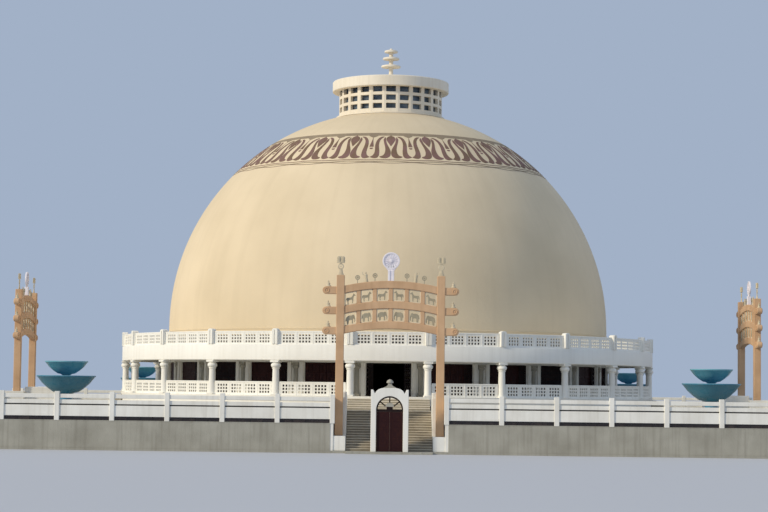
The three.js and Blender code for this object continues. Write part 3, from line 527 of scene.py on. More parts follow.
BUD = even([(0.561, 0.07), (0.61, 0.51), (0.667, 1.02), (0.724, 1.52), (0.78, 1.84), (0.829, 1.73), (0.87, 1.20),
            (0.894, 0.40)])
BUD_STEM = even([(0.88, 0.15), (0.93, 0.15)])
DROP = even([(0.837, 0.06), (0.756, 0.19), (0.675, 0.41), (0.602, 0.66), (0.553, 0.77), (0.538, 0.72)])
DASH = even([(0.504, 0.60), (0.486, 0.62), (0.463, 0.35)])
TASSEL = even([(0.915, 2.1), (0.89, 1.7), (0.865, 0.9), (0.845, 0.25)])


def on_dome(degrees, share):
    """The point of the dome at an angle round it and a share of the band's height."""
    slope = share - BAND_EASE * share * (1 - share)
    latitude = math.radians(BAND_LOW + (BAND_HIGH - BAND_LOW) * slope)
    azimuth = math.radians(degrees)
    radius = DOME_RADIUS * math.cos(latitude)
    return Vector((radius * math.sin(azimuth), -radius * math.cos(azimuth),
                   DOME_SPRING + DOME_RADIUS * math.sin(latitude)))


def along_curve(points, share):
    """A point on the smooth curve through points, at a share of its run."""
    position = share * (len(points) - 1)
    i = min(int(position), len(points) - 2)
    t = position - i
    p0, p1, p2, p3 = (Vector(points[max(0, min(len(points) - 1, i + k))]) for k in (-1, 0, 1, 2))
    bend = (2 * p0 - 5 * p1 + 4 * p2 - p3) * t * t + (3 * p1 - p0 - 3 * p2 + p3) * t * t * t
    return 0.5 * (2 * p1 + (p2 - p0) * t + bend)


print("band", round(on_dome(0, 0).z, 2), "to", round(on_dome(0, 1).z, 2), "m above the ground")

# %% Painted band: coats of paint
PETAL_STEPS = 3
LINE_STEPS = 288


def coated(across, along, place, thickness):
    """A coat of paint on the dome. place gives the point at shares (u, v) across and along it."""
    bm = bmesh.new()
    bmesh.ops.create_grid(bm, x_segments=across, y_segments=along, size=0.5)
    for vert in bm.verts:
        vert.co = place(vert.co.x + 0.5, vert.co.y + 0.5)
    bmesh.ops.remove_doubles(bm, verts=bm.verts[:], dist=1e-4)
    face = bm.faces[:][0]
    face.normal_update()
    if face.normal.dot(face.calc_center_median() - Vector((0, 0, DOME_SPRING))) < 0:
        bmesh.ops.reverse_faces(bm, faces=bm.faces[:])
    bm.normal_update()
    bmesh.ops.solidify(bm, geom=bm.faces[:], thickness=-thickness)
    return bm


def painted(rows, mirror=1, shift=0.0):
    """A coat of paint between the two edges that run through rows."""

    def place(u, v):
        degrees, share = along_curve([row[:2] for row in rows], v).lerp(along_curve([row[2:] for row in rows], v), u)
        return on_dome(mirror * degrees + shift, share)

    return coated(2, PETAL_STEPS * (len(rows) - 1), place, COAT)


def stripe(low, high, wave=0.0, lift=COAT):
    """A painted line round the whole dome between two shares of the band's height."""

    def place(u, v):
        share = low + (high - low) * v + wave * math.cos(math.radians(u * 360 * BAYS))
        return on_dome(u * 360, share)

    return coated(LINE_STEPS, 1, place, lift)


# %% Painted band: its pieces
repeat = bmesh.new()
for rows, mirror, shift in (
    (INNER_PETAL, 1, 0), (INNER_PETAL, -1, 0), (OUTER_PETAL, 1, 0), (OUTER_PETAL, -1, 0), (BUD, 1, 0),
    (BUD_STEM, 1, 0), (DROP, 1, BAY / 2), (DASH, 1, BAY / 2),
):
    joined(repeat, painted(rows, mirror, shift))
finished("band_petals", ringed(repeat), petal_paint)

borders = stripe(0.911, 1.0)
joined(borders, stripe(0.045, 0.065, 0.014))
joined(borders, stripe(0.0, 0.02, -0.014))
joined(borders, ringed(painted(TASSEL, shift=BAY / 2)))
finished("band_borders", borders, line_paint)
finished("band_hairline", stripe(0.10, 0.118, 0.008), petal_paint)
finished("band_ground", stripe(-0.02, 0.95, lift=COAT / 3), band_ground)

# %% [markdown]
# Cast concrete lattices fill the balustrades and the lantern. Each is a flat panel pierced with small
# square holes. A grid operator gives the panel, its rows and columns are moved to the edges of the holes,
# the hole cells are deleted, and extruding what is left makes the walls of every hole.

# %% Pierced panels


def pierced(x_span, z_span, columns, rows, depth):
    """A panel with its front at y = 0. columns and rows are the (low, high) spans of its holes."""
    xs = [x_span[0], *sum(columns, ()), x_span[1]]
    zs = [z_span[0], *sum(rows, ()), z_span[1]]
    across, up = len(xs) - 1, len(zs) - 1
    bm = bmesh.new()
    bmesh.ops.create_grid(bm, x_segments=across, y_segments=up, size=0.5)
    cells = [(face, face.calc_center_median() + Vector((0.5, 0.5, 0))) for face in bm.faces]
    holes = [face for face, middle in cells if int(middle.x * across) % 2 and int(middle.y * up) % 2]
    for vert in bm.verts:
        vert.co = (xs[round((vert.co.x + 0.5) * across)], 0, zs[round((vert.co.y + 0.5) * up)])
    bmesh.ops.delete(bm, geom=holes, context="FACES")
    return deepened(bm, depth)


# %% [markdown]
# The lantern lets light and air into the dome. Its drum is 24 flat bays, each with three small windows
# one over the other between thick bars. The cap over it has a deep rim. All edges of the cap are slightly
# rounded, so that its rim catches a line of light.

# %% Lantern drum and cap
HALF_BAY = math.radians(BAY / 2)
DRUM_FACE = cad_box("lantern_drum")[1].x
DRUM_RADIUS = DRUM_FACE / math.cos(HALF_BAY)
DRUM_WALL = 0.28
DRUM_WINDOWS = [(27.49, 27.93), (28.17, 28.63), (28.87, 29.33)]
LANTERN_SIDES = 96
drum_half = DRUM_RADIUS * math.sin(HALF_BAY)
drum_bay = pierced((-drum_half, drum_half), (DRUM_BASE, CAP_SOFFIT), [(-0.4, 0.4)], DRUM_WINDOWS, DRUM_WALL)
drum = ringed(placed(drum_bay, moved(0, -DRUM_FACE, 0)))
collar = [(-0.05, -0.02), (0.22, -0.02), (0.22, 0.1), (-0.05, 0.14)]
joined(drum, turned(collar, LANTERN_SIDES, DRUM_RADIUS, DRUM_BASE))
finished("lantern_drum_bars", drum, pale_wash, ["lantern_drum"])

cap = turned([
    (0, CAP_TOP - 0.3), (3.9, CAP_TOP - 0.3), (3.9, CAP_SOFFIT), (CAP_RADIUS - 0.05, CAP_SOFFIT),
    (CAP_RADIUS, CAP_SOFFIT + 0.05), (CAP_RADIUS, CAP_TOP - 0.16), (CAP_RADIUS - 0.05, CAP_TOP - 0.1),
    (CAP_RADIUS - 0.3, CAP_TOP - 0.05), (0, CAP_TOP),
], LANTERN_SIDES)
finished("lantern_roof", cap, pale_wash, ["lantern_cap"])

# %% [markdown]
# Three stone umbrellas ride on the mast, each a lens with a rounded rim, smaller towards the top.

# %% Umbrella mast
DISCS = [("lower", 31.6, 0.83), ("middle", 32.27, 0.70), ("upper", 32.88, 0.57)]
MAST_RADIUS = 0.17
MAST_SIDES, DISC_SIDES = 32, 48
mast_line = [(0, CAP_TOP), (0.42, CAP_TOP), (0.38, CAP_TOP + 0.12), (0.3, CAP_TOP + 0.35), (0.2, CAP_TOP + 0.6),
             (MAST_RADIUS, CAP_TOP + 0.8)]
for disc_name, level, radius in DISCS:
    mast_line += [(MAST_RADIUS, level - 0.2), (0.24, level - 0.13), (0.24, level - 0.1), (MAST_RADIUS, level - 0.09)]
    eye = MAST_RADIUS + 0.01
    lens = turned([
        (eye, -0.085), (radius * 0.8, -0.085), (radius * 0.97, -0.06), (radius, -0.02), (radius, 0.03),
        (radius * 0.97, 0.08), (radius * 0.75, 0.13), (eye, 0.17),
    ], DISC_SIDES, 0, level)
    finished(f"{disc_name}_umbrella", lens, pale_wash, [f"{disc_name}_umbrella_disc"])
mast_line += [(MAST_RADIUS, MAST_TOP - 0.14), (0.13, MAST_TOP - 0.05), (0.08, MAST_TOP), (0, MAST_TOP)]
finished("mast", turned(mast_line, MAST_SIDES), pale_wash, ["umbrella_mast"])

# %% [markdown]
# The verandah runs round the dome in 24 straight bays. Its columns are turned: a flared foot on a square
# base, a plain tapering shaft, a round cushion and a square block under the deep ring beam.

# %% Colonnade
VERANDAH_RADIUS = 22.1
COLUMN_CIRCLE = 21.8
COLUMN_SIDES = 24
BEAM_IN, BEAM_LOW = 21.5 - VERANDAH_RADIUS, 6.36
COLUMN_LINE = [
    (0, 0.1), (0.285, 0.1), (0.285, 0.17), (0.262, 0.22), (0.255, 1.2), (0.24, 1.93), (0.285, 1.95), (0.285, 2.01),
    (0.25, 2.03), (0.32, 2.07), (0.36, 2.13), (0.37, 2.2), (0.36, 2.27), (0.32, 2.33), (0.26, 2.37), (0.26, 2.42),
    (0, 2.42),
]
column = turned(COLUMN_LINE, COLUMN_SIDES, level=VERANDAH_FLOOR)
block(column, 0.3, 0.3, (VERANDAH_FLOOR, VERANDAH_FLOOR + 0.12))
block(column, 0.34, 0.34, (VERANDAH_FLOOR + 2.42, BEAM_LOW))
colonnade = ringed(placed(column, moved(0, -COLUMN_CIRCLE, 0)), BAYS, BAY / 2)
ring_beam = turned([(BEAM_IN, BEAM_LOW), (-0.06, BEAM_LOW), (0, BEAM_LOW + 0.05), (0, FASCIA_TOP - 0.05),
                    (-0.04, FASCIA_TOP), (BEAM_IN, FASCIA_TOP)], BAYS, VERANDAH_RADIUS)
joined(colonnade, ring_beam, rolled(BAY / 2, "Z"))
finished("columns_and_beam", colonnade, wall_paint, each(SIDES, "colonnade"), sharp=40)

# %% [markdown]
# Both balustrades stand between posts or columns and have four groups of twelve square holes in a bay,
# under a plain flush coping. The lower one is missing in the middle of each side, where the stair comes
# up. The posts of the upper one have rounded tops and a groove down their face.

# %% Lower balustrade and the verandah's base
HOLE, HOLE_STEP = 0.15, 0.24
HOLES_ACROSS, HOLES_UP = 4, 3
PANELS, PANEL_PITCH = 4, 1.25
LATTICE_DEPTH = 0.1
SHADE_FOOT_TOP = TERRACE + 0.3


def balustrade_bay(circle, half_length, low, high, first_hole):
    """One bay of balustrade on the chord of a circle, with its coping and thin uprights."""
    start = -(HOLES_ACROSS * HOLE_STEP - (HOLE_STEP - HOLE) + (PANELS - 1) * PANEL_PITCH) / 2
    lefts = [start + g * PANEL_PITCH + i * HOLE_STEP for g in range(PANELS) for i in range(HOLES_ACROSS)]
    feet = [first_hole + i * HOLE_STEP for i in range(HOLES_UP)]
    bm = pierced((-half_length, half_length), (low, high), [(x, x + HOLE) for x in lefts],
                 [(z, z + HOLE) for z in feet], LATTICE_DEPTH)
    placed(bm, moved(0, -LATTICE_DEPTH / 2, 0))
    block(bm, half_length, 0.07, (high - 0.1, high), 0.02)
    for g in range(PANELS + 1):
        block(bm, about((g - PANELS / 2) * PANEL_PITCH, 0.06), 0.065, (low, high - 0.08), 0.01)
    return placed(bm, moved(0, -circle * math.cos(HALF_BAY), 0))


lower_chord = COLUMN_CIRCLE * math.sin(HALF_BAY) - 0.3
lower_bay = balustrade_bay(COLUMN_CIRCLE, lower_chord, VERANDAH_FLOOR, 4.80, 3.95)
lower = bmesh.new()
for i in range(BAYS):
    if i % (BAYS // 4):
        merged(lower, lower_bay, rolled(i * BAY, "Z"))
lower_bay.free()
inner_edge, foot = DOME_RADIUS + 0.01 - VERANDAH_RADIUS, TERRACE + 0.001 - VERANDAH_FLOOR
base = turned([
    (inner_edge, -0.2), (-0.4, -0.2), (-0.4, foot), (-0.06, foot), (-0.06, -0.42), (-0.02, -0.38), (-0.02, -0.2),
    (0, -0.16), (0, 0), (inner_edge, 0),
], BAYS, VERANDAH_RADIUS, VERANDAH_FLOOR)
joined(lower, base, rolled(BAY / 2, "Z"))
finished("verandah_base", lower, wall_paint, each(SIDES, "verandah_plinth"))

# Painted shade: a black band on the foot of the verandah's base, which shows dark through the podium's slits.
shade_foot_paint = turned([(-0.3, TERRACE + 0.001), (-0.045, TERRACE + 0.001), (-0.045, SHADE_FOOT_TOP - 0.01),
                      (-0.055, SHADE_FOOT_TOP), (-0.3, SHADE_FOOT_TOP)], BAYS, VERANDAH_RADIUS)
finished("verandah_shade_foot_paint", placed(shade_foot_paint, rolled(BAY / 2, "Z")), black_shade_paint)

# %% Balustrade on the roof's edge
UPPER_CIRCLE = VERANDAH_RADIUS - 0.22
UPPER_POST = 0.46
UPPER_POST_TOP = 8.72
POST_ROUNDING = 0.6  # how far the round top rises, as a share of the post's half width
GROOVE = 0.04
upper_chord = UPPER_CIRCLE * math.sin(HALF_BAY) - UPPER_POST / 2 + 0.02
upper = ringed(balustrade_bay(UPPER_CIRCLE, upper_chord, FASCIA_TOP, 8.53, 7.68))
half = UPPER_POST / 2
post_side = UPPER_POST_TOP - half * POST_ROUNDING
round_top = half_circle(half, post_side, 20, POST_ROUNDING)
plain_post = [(-half, FASCIA_TOP), (half, FASCIA_TOP)] + round_top
grooved_post = [(-half, FASCIA_TOP), (-GROOVE, FASCIA_TOP), (-GROOVE, post_side), (GROOVE, post_side),
                (GROOVE, FASCIA_TOP), (half, FASCIA_TOP)] + round_top
roof_post = placed(cut_out(grooved_post, 0.05, 0.012), moved(0, -half - 0.01, 0))
joined(roof_post, cut_out(plain_post, UPPER_POST - 0.04, 0.03))
joined(upper, ringed(placed(roof_post, moved(0, -UPPER_CIRCLE, 0)), BAYS, BAY / 2))
finished("roof_edge_balustrade", upper, wall_paint, each(SIDES, "roof_balustrade"))

# %% [markdown]
# The openings of the round wall lead into the domed hall. All but the front entrance have a pair of
# boarded doors behind a folding gate, whose crossed iron laths are pushed to one side, or drawn shut on
# seven of them. The front entrance stands open between two folded gates. A lath is a thin block laid from
# point to point.

# %% Doors and folding gates
OPENING_HALF = 3.37 / 2
OPENING_LOW, OPENING_HEAD = VERANDAH_FLOOR + 0.03, 6.28 - 0.03
DOOR_LEDGES = (0.1, 0.9, 1.6, 2.3)
BOARDS = 6
CROSSINGS = 7


def bar(bm, start, end, width, depth):
    """Adds a thin bar from start to end, given as (x, z), in the plane y = 0."""
    run = Vector((end[0] - start[0], 0, end[1] - start[1]))
    part = bmesh.new()
    block(part, width / 2, depth / 2, (0, run.length), 0)
    joined(bm, part, moved(start[0], 0, start[1]) @ Matrix.Rotation(math.atan2(run.x, run.z), 4, "Y"))


def folding_gate(bm, left, right, folds):
    """Upright laths from left to right with crossed laths in each gap between them."""
    step = (right - left) / folds
    rise = (OPENING_HEAD - OPENING_LOW) / CROSSINGS
    for i in range(folds + 1):
        bar(bm, (left + i * step, OPENING_LOW), (left + i * step, OPENING_HEAD), 0.05, 0.04)
    for i in range(folds):
        x0, x1 = left + i * step, left + (i + 1) * step
        for k in range(CROSSINGS):
            z = OPENING_LOW + k * rise
            bar(bm, (x0, z), (x1, z + rise), 0.035, 0.02)
            bar(bm, (x1, z), (x0, z + rise), 0.035, 0.02)


def boarded_doors():
    """A pair of boarded leaves that fill an opening, with ledges across."""
    bm = bmesh.new()
    board = OPENING_HALF / BOARDS
    for i in range(-BOARDS, BOARDS):
        block(bm, (i * board + 0.006, (i + 1) * board - 0.006), 0.03, (OPENING_LOW, OPENING_HEAD), 0.012)
    for side in (-1, 1):
        for lift in DOOR_LEDGES:
            block(bm, (side * 0.05, side * (OPENING_HALF - 0.03)), (-0.055, 0.0),
                  (OPENING_LOW + lift, OPENING_LOW + lift + 0.12), 0.01)
    block(bm, OPENING_HALF, (0.02, 0.04), (VERANDAH_FLOOR - 0.01, OPENING_HEAD + 0.15), 0)
    return bm


doors, gates = bmesh.new(), bmesh.new()
shut_leaves = boarded_doors()
side_gate, shut_gate, entrance_gates = bmesh.new(), bmesh.new(), bmesh.new()
folding_gate(side_gate, OPENING_HALF - 0.62, OPENING_HALF - 0.05, 3)
folding_gate(shut_gate, -OPENING_HALF + 0.05, OPENING_HALF - 0.05, 18)
folding_gate(entrance_gates, OPENING_HALF - 0.5, OPENING_HALF - 0.05, 3)
folding_gate(entrance_gates, 0.05 - OPENING_HALF, 0.5 - OPENING_HALF, 3)
door_place, gate_place = (moved(0, (inset - DOME_RADIUS) * math.cos(HALF_BAY / 2), 0) for inset in (0.25, 0.08))
merged(gates, entrance_gates, gate_place)
for i in range(1, BAYS):
    merged(gates, side_gate if i % 3 else shut_gate, rolled(i * BAY, "Z") @ gate_place)
    merged(doors, shut_leaves, rolled(i * BAY, "Z") @ door_place)
for part in (shut_leaves, side_gate, shut_gate, entrance_gates):
    part.free()
finished("boarded_doors", doors, door_paint)
finished("folding_gates", gates, dark_paint)

# %% [markdown]
# Between the openings each pier carries a half column with the same cushion and block as the columns in
# front of it. It stands in a niche between two flat raised strips. The strips are painted like the wall.
# The half columns are grey cement plaster, painted darker as the shade of their niches, so that they stand out
# against the paint.

# %% Piers of the round wall
# Painted shade: the half columns are grey for the shade of their niches; the same grey plaster serves the finial and
# the hub.
cement_plaster = masonry("grey_cement_plaster_and_niche_shade", "#B3AFA3", "#8A8578", 0.85, (900, 200, 60), 0.3, 0.4, 10)
PIER_LINE = [(0, 3.95), (0.22, 3.95), (0.22, 4.05), (0.19, 4.1), (0.175, 5.78), (0.21, 5.8), (0.19, 5.83),
             (0.25, 5.89), (0.27, 5.97), (0.25, 6.05), (0.19, 6.1), (0, 6.1)]
PIER_SIDES = 16
pier_column, pier_strips = placed(turned(PIER_LINE, PIER_SIDES), moved(0, 0.02, 0)), bmesh.new()
for levels in ((6.08, 6.24), (VERANDAH_FLOOR, 3.96)):
    block(pier_column, 0.26, (-0.22, 0.1), levels, 0.02)
for x in (-0.5, 0.5):
    block(pier_strips, about(x, 0.15), (-0.14, 0.1), (VERANDAH_FLOOR, 6.3))
for name, part, finish in (("pier_columns", pier_column, cement_plaster), ("pier_strips", pier_strips, wall_paint)):
    finished(name, ringed(placed(part, moved(0, -DOME_RADIUS, 0)), BAYS, BAY / 2), finish)

# %% [markdown]
# The podium is a half basement. From the ground up each bay between its posts has rough cast, a ribbon of
# low windows, a plain panel, and two rails with slits between them. The upper slit is open, and the lower
# one has a black strip at its back, which is painted shade. The posts run from the ribbon to above the top
# rail, and the rough cast runs on below them. A low guard stands on the walls beside the stair well, where
# the picture shows white masonry at the foot of the side gateways. One half of one side is drawn here, then
# mirrored and turned to all eight places.

# %% Podium walls: courses
FRONT = -PODIUM_HALF
POST_HALF, POST_PITCH, FIRST_POST, POST_COUNT = 0.165, 3.73, 3.87, 8
RIBBON_SILL, RIBBON_HEAD = 2.02, 2.28
POST_FOOT = RIBBON_SILL - 0.03
PARAPET_TOP, POST_TOP = 3.77, 3.95
RETURN_INNER, RETURN_OUTER, RETURN_BACK = 3.80, 4.025, FRONT + 2.05
bottom = PODIUM_FLOOR + 0.001
post_places = [FIRST_POST + i * POST_PITCH for i in range(POST_COUNT)] + [PODIUM_HALF - POST_HALF]
bay_spans = [(left + POST_HALF - 0.01, right - POST_HALF + 0.01) for left, right in zip(post_places, post_places[1:])]
mullions = [about(low + (high - low) * i / 4, 0.025) for low, high in bay_spans for i in (1, 2, 3)]
foot_span = (RETURN_OUTER - 0.02, PODIUM_HALF - 0.03)


def courses(spans, *layers):
    """A new bmesh with blocks on each span. A layer is (front, back, low, high, bevel), from the wall's face."""
    bm = bmesh.new()
    for span in spans:
        for front, back, low, high, bevel in layers:
            block(bm, span, (FRONT + front, FRONT + back), (low, high), bevel)
    return bm


def all_round(part):
    """Eight copies of half a side: it and its mirror image, turned to every side."""
    bm = bmesh.new()
    merged(bm, part)
    joined(bm, part, stretched(-1, 1, 1))
    bmesh.ops.recalc_face_normals(bm, faces=bm.faces[:])
    return ringed(bm, 4)


facing = courses([about(x, POST_HALF) for x in post_places[:-1]], (0, 0.3, POST_FOOT, POST_TOP, 0.02))
joined(facing, courses(bay_spans, (0.07, 0.28, RIBBON_HEAD, 3.02, 0.015), (0.1, 0.25, 3.11, 3.39, 0.02),
                       (0.06, 0.27, 3.50, PARAPET_TOP, 0.02)))
# Painted shade: a black strip at the back of the lower slit, for the dark inside it.
slit_backs = courses(bay_spans, (0.2, 0.24, 2.98, 3.15, 0))
rough_foot = courses([foot_span], (0.02, 0.29, bottom, RIBBON_SILL - 0.04, 0.01),
                     (0.005, 0.29, RIBBON_SILL - 0.05, RIBBON_SILL, 0.01))
glazing = courses(bay_spans, (0.17, 0.2, RIBBON_SILL, RIBBON_HEAD, 0))
joined(glazing, courses(mullions, (0.13, 0.17, RIBBON_SILL, RIBBON_HEAD, 0.005)))
finished("podium_slit_backs", all_round(slit_backs), black_shade_paint)
finished("podium_foot", all_round(rough_foot), rough_cast)
finished("ribbon_windows", all_round(glazing), ribbon_glass)

# %% Podium walls: stair returns, cheek walls and corner posts
CHEEK_INNER, CHEEK_OUTER = 2.95, 3.25
LANDING = -27.05
PEDESTAL_TOP = 1.15
GUARD_START, GUARD_TOP = -29.85, 4.13
STAGGER = 0.006  # keeps faces of lapping blocks out of one plane, where they would flicker
block(facing, (RETURN_INNER, RETURN_OUTER), (FRONT + 0.05, RETURN_BACK + 0.3), (bottom, PARAPET_TOP))
block(facing, (CHEEK_INNER, RETURN_OUTER - STAGGER), (RETURN_BACK, RETURN_BACK + 0.3 - STAGGER),
      (bottom, PARAPET_TOP - STAGGER))
block(facing, (CHEEK_INNER + STAGGER, CHEEK_OUTER), (RETURN_BACK + 0.01, LANDING),
      (bottom, PARAPET_TOP - 2 * STAGGER))
block(facing, (CHEEK_INNER + 3 * STAGGER, CHEEK_OUTER - STAGGER), (GUARD_START, LANDING - STAGGER),
      (PARAPET_TOP - 0.1, GUARD_TOP), 0.03)
block(facing, (CHEEK_INNER + 2 * STAGGER, RETURN_INNER + 0.02), (FRONT + 0.1, RETURN_BACK + 0.02),
      (bottom, PEDESTAL_TOP), 0.03)
corner_post = courses([(PODIUM_HALF - 2 * POST_HALF, PODIUM_HALF)], (0, 2 * POST_HALF, POST_FOOT, POST_TOP, 0.02))
facing = all_round(facing)
joined(facing, ringed(corner_post, 4))
finished("podium_facing", facing, podium_paint, each(CORNERS, "podium_wall"))

# %% [markdown]
# Each step has a sawn slab that stands a little proud of its riser, so that the flight shows a light
# nosing over a dark line. The slabs lie on the CAD flights, sixteen on the lower and five on the upper.

# %% Step slabs
TREAD = 0.3
SLAB_THICK, NOSING = 0.045, 0.03
UPPER_LOW, UPPER_HIGH = cad_box("front_upper_stair")
for name, count, foot, low, high, half_width, finish in (
    ("lower_step_slabs", 16, -31.85, PODIUM_FLOOR, TERRACE, CHEEK_INNER - 0.01, shaded_lower_tread),
    ("upper_step_slabs", 5, UPPER_LOW.y, TERRACE, UPPER_HIGH.z, 3.0, tread_stone),
):
    flight = bmesh.new()
    for i in range(count):
        y, top = foot + i * TREAD, low + (high - low) * (i + 1) / count
        block(flight, half_width, (y - NOSING, y + TREAD - 0.01), (top - SLAB_THICK, top + 0.006), 0.01)
    finished(name, ringed(flight, 4), finish)

# %% [markdown]
# A torana is a gateway in the old timber manner, built in stone: two square pillars carry three arched
# beams, whose rounded ends pass through the pillars and bear a carved ring. Short uprights stand between
# the beams. The outline of a beam is drawn once and sawn out, with its edges eased. One torana is made
# for the front and turned to the four sides.

# %% Torana: pillars, beams and uprights
TORANA_LINE = -30.45
PILLAR_AT, PILLAR_HALF, PILLAR_TOP = 3.46, 0.275, 12.15
BEAM_LEVELS = (8.32, 9.71, 11.10)
BEAM_HALF, BEAM_DEPTH, BEAM_REACH, BEAM_RISE = 0.26, 0.42, 4.70, 0.43
UPRIGHT_PITCH, UPRIGHT_HALF = 1.10, 0.14
RING_AT, RING_SIDES = 4.4, 20
FACING = rolled(90, "X")  # turns a form's top towards the front


def arch(x):
    """How far a beam's line stands above its ends at x."""
    return BEAM_RISE * max(0.0, 1 - (x / PILLAR_AT) ** 2)


def beam(level):
    straight = BEAM_REACH - BEAM_HALF
    line = [PILLAR_AT * i / 12 for i in range(13)] + [straight]
    below = [(x, level - BEAM_HALF + arch(x)) for x in line]
    tip = [(straight + z, level - x) for x, z in half_circle(BEAM_HALF, 0, 20)[1:-1]]
    above = [(x, z + 2 * BEAM_HALF) for x, z in reversed(below)]
    return cut_out(mirrored(below + tip + above), BEAM_DEPTH, 0.035)


def at_sides(bm, x, y):
    """Moves a shape that was made on the axis to its place, and repeats it on the four sides."""
    return ringed(placed(bm, moved(x, y, 0)), 4)


members = bmesh.new()
carved_ring = turned([(0.11, 0), (0.13, 0.035), (0.165, 0.035), (0.18, 0), (0.18, -0.05), (0.11, -0.05)], RING_SIDES)
joined(carved_ring, turned([(0, 0.03), (0.05, 0.02), (0.07, 0), (0.07, -0.05), (0, -0.05)], 12))
for level in BEAM_LEVELS:
    joined(members, beam(level))
    for x, back in ((-RING_AT, -1), (-RING_AT, 1), (RING_AT, -1), (RING_AT, 1)):
        merged(members, carved_ring, moved(x, back * BEAM_DEPTH / 2, level) @ rolled(-90 * back, "X"))
carved_ring.free()
for x in (-PILLAR_AT, PILLAR_AT):
    block(members, about(x, PILLAR_HALF), PILLAR_HALF, (PEDESTAL_TOP, PILLAR_TOP), 0.03)
for low, high in zip(BEAM_LEVELS, BEAM_LEVELS[1:]):
    for i in range(-2, 3):
        x = i * UPRIGHT_PITCH
        block(members, about(x, UPRIGHT_HALF), 0.15, (low + arch(x), high + arch(x)), 0.02)
finished("torana_members", at_sides(members, 0, TORANA_LINE), sandstone, each(SIDES, "torana"))

# %% [markdown]
# Between the uprights stand open frames with an animal in each: horses above, elephants below, all
# walking towards the middle. An animal is a simple outline, sawn out and eased, so it reads from afar and
# has few faces. Frames and animals are made straight, and then raised by the arch of the beams.

# %% Torana: framed animals
ELEPHANT = [
    (0.02, 0.55), (0.08, 0.75), (0.25, 0.86), (0.45, 0.88), (0.60, 0.84), (0.68, 0.90), (0.80, 0.90), (0.88, 0.80),
    (0.91, 0.66), (0.97, 0.45), (0.98, 0.20), (0.93, 0.06), (0.88, 0.10), (0.90, 0.28), (0.86, 0.46), (0.79, 0.50),
    (0.76, 0.42), (0.76, 0.0), (0.63, 0.0), (0.62, 0.36), (0.52, 0.40), (0.34, 0.38), (0.30, 0.0), (0.14, 0.0),
    (0.10, 0.35), (0.05, 0.40), (0.03, 0.30), (0.0, 0.35),
]
HORSE = [
    (0.05, 0.60), (0.10, 0.68), (0.35, 0.64), (0.55, 0.64), (0.66, 0.78), (0.74, 0.95), (0.80, 1.0), (0.84, 0.92),
    (0.97, 0.80), (0.95, 0.73), (0.82, 0.76), (0.78, 0.62), (0.76, 0.48), (0.75, 0.25), (0.72, 0.0), (0.64, 0.0),
    (0.64, 0.28), (0.60, 0.40), (0.32, 0.38), (0.26, 0.25), (0.28, 0.0), (0.19, 0.0), (0.16, 0.25), (0.13, 0.40),
    (0.06, 0.45), (0.02, 0.25), (0.0, 0.28), (0.02, 0.50),
]
ANIMAL_WIDTH, ANIMAL_HEIGHT, ANIMAL_DEPTH = 0.68, 0.66, 0.14
FRAME_WIDE, BAR_HALF = 0.41, 0.0275
FRAME_TALL = (BEAM_LEVELS[1] - BEAM_LEVELS[0]) / 2 - BEAM_HALF


def animal(outline, heading):
    """An animal on the axis. heading is 1 to the right and -1 to the left."""
    points = [(heading * (x - 0.5) * ANIMAL_WIDTH, z * ANIMAL_HEIGHT + 0.07 - FRAME_TALL) for x, z in outline]
    return cut_out(points, ANIMAL_DEPTH, 0.018)


def frame_bars():
    bm = bmesh.new()
    for side in (-1, 1):
        block(bm, about(side * (FRAME_WIDE - BAR_HALF), BAR_HALF), 0.1, FRAME_TALL + 0.02, 0.01)
        block(bm, FRAME_WIDE, 0.1, about(side * (FRAME_TALL - BAR_HALF), BAR_HALF), 0.01)
    return bm


animals, frames = bmesh.new(), bmesh.new()
for low, high, outline in zip(BEAM_LEVELS, BEAM_LEVELS[1:], (ELEPHANT, HORSE)):
    for i in range(-3, 3):
        middle = moved((i + 0.5) * UPRIGHT_PITCH, 0, (low + high) / 2)
        joined(animals, animal(outline, 1 if i < 0 else -1), middle)
        joined(frames, frame_bars(), middle)
# The animals' grey is painted shade that sets them off against the dome.
for name, bm, finish in (("torana_animals", animals, carved_stone), ("torana_frames", frames, cast_stone)):
    for vert in bm.verts:
        vert.co.z += arch(vert.co.x)
    finished(name, at_sides(bm, 0, TORANA_LINE), finish)

# %% [markdown]
# On top stand slender guardians, small wheels on stems, and a crown with a ring on each pillar. A small
# seated figure rests on every beam end. They are turned like skittles and then flattened, and a head has
# only the plain features that a carver gives a figure of this size: a nose, ears and a knot of hair. The
# crowns are flat as well, since those of the side gateways look like thin spikes edge-on.

# %% Torana: figures and small wheels
STANDING = [(0, 0), (0.18, 0), (0.17, 0.04), (0.13, 0.38), (0.15, 0.6), (0.17, 0.72), (0.07, 0.79), (0.05, 0.82),
            (0.08, 0.86), (0.085, 0.91), (0.06, 0.96), (0.03, 0.98), (0.02, 1.0), (0, 1.0)]
SEATED = [(0, 0), (0.42, 0), (0.44, 0.1), (0.36, 0.2), (0.25, 0.28), (0.29, 0.5), (0.26, 0.61), (0.09, 0.67),
          (0.07, 0.71), (0.12, 0.77), (0.13, 0.85), (0.09, 0.93), (0.05, 0.96), (0.03, 1.0), (0, 1.0)]
FIGURE_SIDES, FIGURE_FLATNESS = 12, 0.75
GUARDIAN_LEAN = 6


def figure(profile, height, head_at, head_radius):
    """A turned figure with a plain head. head_at and head_radius are shares of its height."""
    bm = turned([(r * height, z * height) for r, z in profile], FIGURE_SIDES)
    placed(bm, stretched(1, FIGURE_FLATNESS, 1))
    size, z = head_radius * height, head_at * height
    block(bm, size * 0.14, (-size * 0.95, -size * 0.6), (z - size * 0.3, z + size * 0.2), size * 0.06)
    for x in (-size, size):
        block(bm, about(x, size * 0.12), size * 0.2, (z - size * 0.4, z + size * 0.3), size * 0.06)
    return bm


